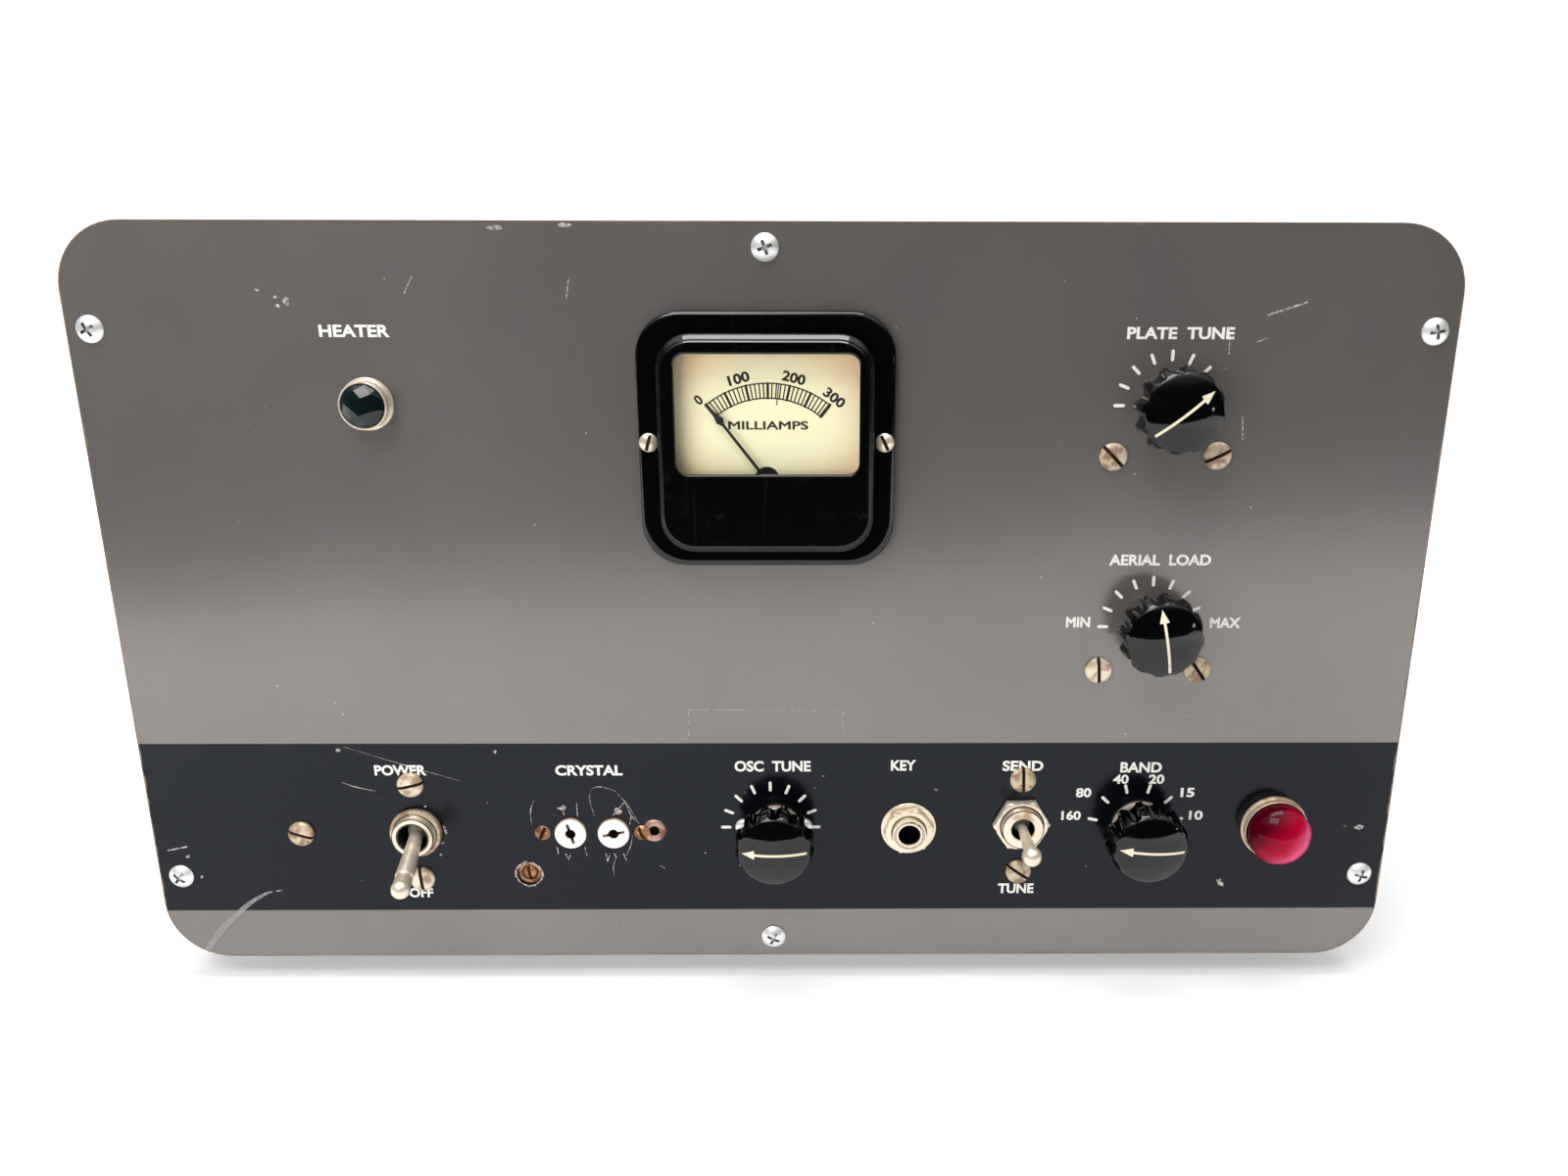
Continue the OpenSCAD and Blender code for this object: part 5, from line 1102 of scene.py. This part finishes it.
def crystal_wear():
    """Scrapes left round the crystal socket by plugs, and the torn paint of the sunk hole."""
    bm = bmesh.new()
    scratches = (
        (((-62.3, 35.8), (-62.0, 33.6)), 0.45), (((-60.0, 33.6), (-59.1, 31.7)), 0.45),
        (((-58.5, 33.6), (-59.0, 32.0)), 0.38), (((-54.3, 35.8), (-53.8, 32.8)), 0.3),
        (((-48.3, 33.6), (-47.9, 31.0)), 0.52), (((-47.2, 33.3), (-47.8, 31.4)), 0.38),
        (((-45.8, 33.6), (-45.3, 32.3)), 0.45), (((-43.2, 33.6), (-42.4, 31.3)), 0.3),
        (((-42.4, 33.0), (-40.9, 36.2), (-40.3, 39.6)), 0.26),
        (((-45.4, 32.3), (-46.5, 29.4), (-46.2, 26.4)), 0.26),
        (((-50.9, 45.5), (-52.3, 50.8), (-51.6, 54.1)), 0.22),
        (((-51.6, 54.1), (-49.1, 55.2), (-44.8, 53.6)), 0.21),
        (((-44.8, 53.6), (-41.6, 49.8), (-38.4, 43.5)), 0.24),
        (((-67.9, 50.8), (-69.4, 47.4), (-69.1, 42.6)), 0.3), (((-59.8, 49.3), (-59.8, 46.0)), 0.38),
        (((-45.7, 45.9), (-42.0, 50.2)), 0.38), (((-55.9, 49.6), (-55.8, 45.5)), 0.26),
        (((-42.0, 50.2), (-40.5, 45.5), (-38.2, 43.2)), 0.3), (((-40.5, 45.5), (-41.0, 43.0)), 0.38),
    )
    for points, width in scratches:
        scratch(bm, points, width)
    chip(bm, -60.1, 48.2, 2.8, 1.3)
    chip(bm, -44.0, 47.2, 2.8, 2.6)
    rims = ((3.55, 3.6, -SCRAPE), (3.75, 4.35, -SCRAPE), (3.75, 4.35, SCRAPE), (3.55, 3.6, SCRAPE))
    ragged = [draw.uniform(0.0, 1.0) for _ in range(36)]
    loops = []
    for low, high, d in rims:
        spin = outward(SUNK_X, SUNK_Z, d)
        loops.append([spin(low + (high - low) * share, 10 * i, 0.0) for i, share in enumerate(ragged)])
    skin(bm, loops, ring=True)
    finish_piece("crystal_wear", bm, RESIDUE, "painted_panel")


def big_scratch():
    """Long scuff across the lower left corner, wide below and thin where it ends."""
    bm = bmesh.new()
    spine = [(-168.0, 1.8), (-162.6, 9.1), (-156.4, 14.9), (-152.2, 18.5), (-147.3, 21.2), (-146.1, 21.4)]
    widths = (1.7, 1.7, 1.5, 1.2, 0.8, 0.3)
    left, right = mark_sides(spine, widths)
    plate(bm, fillet(left, 3.0) + fillet(right, 3.0)[::-1], -SCRAPE, SCRAPE)
    finish_piece("big_scratch", bm, SCUFF, "painted_panel")


# Camera, floor and light

IMAGE_W = 1600
IMAGE_H = 1200


def make_camera():
    pitch = math.radians(-16.744)
    yaw = math.radians(0.55)
    roll = math.radians(0.155)
    focal_px = 1260.35
    middle_px = (850.75, 598.45)
    eye = (0.01441, -0.41731, 0.21899)
    forward = Vector((math.sin(yaw) * math.cos(pitch), math.cos(yaw) * math.cos(pitch), math.sin(pitch)))
    level = Vector((math.cos(yaw), -math.sin(yaw), 0.0))
    upright = level.cross(forward)
    right = level * math.cos(roll) + upright * math.sin(roll)
    up = upright * math.cos(roll) - level * math.sin(roll)
    data = bpy.data.cameras.new("camera")
    data.sensor_width = 36.0
    data.lens = focal_px * data.sensor_width / IMAGE_W
    data.shift_x = 0.5 - middle_px[0] / IMAGE_W
    data.shift_y = (middle_px[1] - IMAGE_H / 2) / IMAGE_W
    data.clip_start = 0.01
    camera = bpy.data.objects.new("camera", data)
    turn = Matrix((right, up, -forward)).transposed().to_4x4()
    camera.matrix_world = Matrix.Translation(eye) @ turn
    bpy.context.scene.collection.objects.link(camera)
    bpy.context.scene.camera = camera


def make_floor():
    """Pale floor that keeps the shadow and lifts the rest to white."""
    f = Finish("floor", base_color=(0.82, 0.82, 0.82, 1.0), roughness=0.9, specular_ior_level=0.0,
               emission_color=WHITE)
    reach = f.add("VectorMath", f.place, operation="LENGTH").outputs["Value"]
    seen, _ = f.seen_rays()
    f.feed("Emission Strength", f.math("MULTIPLY", seen, f.fade(reach, 0.22, 0.55, 0.32, 1.0, "LINEAR")))
    bm = bmesh.new()
    corners = ((-0.9, -0.09), (0.9, -0.5), (0.9, 1.0), (-0.9, 1.0))
    bm.faces.new([bm.verts.new((x, y, 0.0)) for x, y in corners])
    mesh = bpy.data.meshes.new("floor")
    bm.to_mesh(mesh)
    bm.free()
    mesh.materials.append(f.material)
    floor = bpy.data.objects.new("floor", mesh)
    floor.location = (0.0, -0.25, 0.0)
    bpy.context.scene.collection.objects.link(floor)


def make_world():
    """White for the camera; mirrors see white behind the set, a pale ceiling and a dark room."""
    world = bpy.data.worlds.new("studio")
    world.use_nodes = True
    bpy.context.scene.world = world
    nodes = Nodes(world.node_tree, "Generated")
    soft = nodes.tree.nodes["Background"]
    soft.inputs["Color"].default_value = WHITE
    soft.inputs["Strength"].default_value = 0.3
    axes = nodes.axes()
    seen, level = nodes.seen_rays()
    for axis, low, high, top in (("Z", 0.35, 0.95, 1.4), ("Y", 0.0, 0.4, 1.2)):
        level = nodes.math("MAXIMUM", nodes.fade(axes[axis], low, high, 0.02, top), level)
    white = nodes.add("Background", WHITE, level)
    blend = nodes.add("MixShader", seen, soft.outputs[0], white.outputs[0])
    nodes.put(nodes.tree.nodes["World Output"].inputs["Surface"], blend.outputs[0])


def lamp(name, spot, aim, size, watts, mirrored, colour=(1.0, 1.0, 1.0)):
    """A flat lamp that mirrors show or leave out."""
    data = bpy.data.lights.new(name, "AREA")
    data.shape = "RECTANGLE"
    data.size, data.size_y = size
    data.energy = watts
    data.color = colour
    light = bpy.data.objects.new(name, data)
    light.location = spot
    light.rotation_euler = (Vector(aim) - Vector(spot)).to_track_quat("-Z", "Y").to_euler()
    light.visible_glossy = mirrored
    bpy.context.scene.collection.objects.link(light)


def make_lights():
    lamp("key", (-0.35, -0.8, 1.25), (0.0, -0.1, 0.05), (0.7, 0.5), 8.0, True, (1.0, 0.97, 0.93))
    lamp("top", (0.0, -0.2, 1.4), (0.0, -0.2, 0.0), (0.9, 0.4), 10.0, True)
    lamp("fill", (-0.42, -0.75, 0.2), (0.0, -0.1, 0.1), (0.6, 0.35), 2.8, False)
    lamp("spark", (0.85, -0.75, 0.12), (0.0, -0.1, 0.06), (0.035, 0.05), 0.06, True)


panel_legends()
panel_ticks()
for name, body, x, z, aim, back in KNOBS:
    knob(name, body, x, z, aim, back)
    knob_arrow(name, body, x, z, aim)
oscillator_screws()
shaft_nuts()
meter_front()
meter_scale()
meter_needle()
collar("power_collar", POWER_AT, 4.3, 6.0, 4.65, 0.4, NICKEL)
collar("mode_collar", MODE_AT, 3.35, 6.0, 4.65, 0.2, NICKEL)
ring_nut()
nut("mode_hex", MODE_AT, 0.0, 8.2, 88.0, 2.5, 6.1, "mode_hex_nut")
levers()
key_fittings()
bushing_shade_sleeve("power_bushing_shade", POWER_AT, 4.28, BROWN_SHADE)
bushing_shade_sleeve("mode_bushing_shade", MODE_AT, 3.33, HOLLOW_SHADE)
jack_shade_disc()
crystal_trim()
crystal_eyelet()
crystal_slot_shade()
crystal_leaves()
slotted_heads("clean_heads", CLEAN_SCREWS, OLD_SCREW, ("slotted_screws",))
slotted_heads("worn_heads", WORN_SCREWS, WORN_SCREW)
screw_slot_shade()
bezel("filament", GREEN_AT, 5.6, 4.4, 0.6, NICKEL)
bezel("transmit", RED_AT, RED_R + 0.05, 3.4, 0.4, OLD_NICKEL)
green_jewel()
red_jewel()
panel_wear()
crystal_wear()
big_scratch()
make_camera()
make_floor()
make_world()
make_lights()
bpy.context.scene.view_settings.view_transform = "Standard"
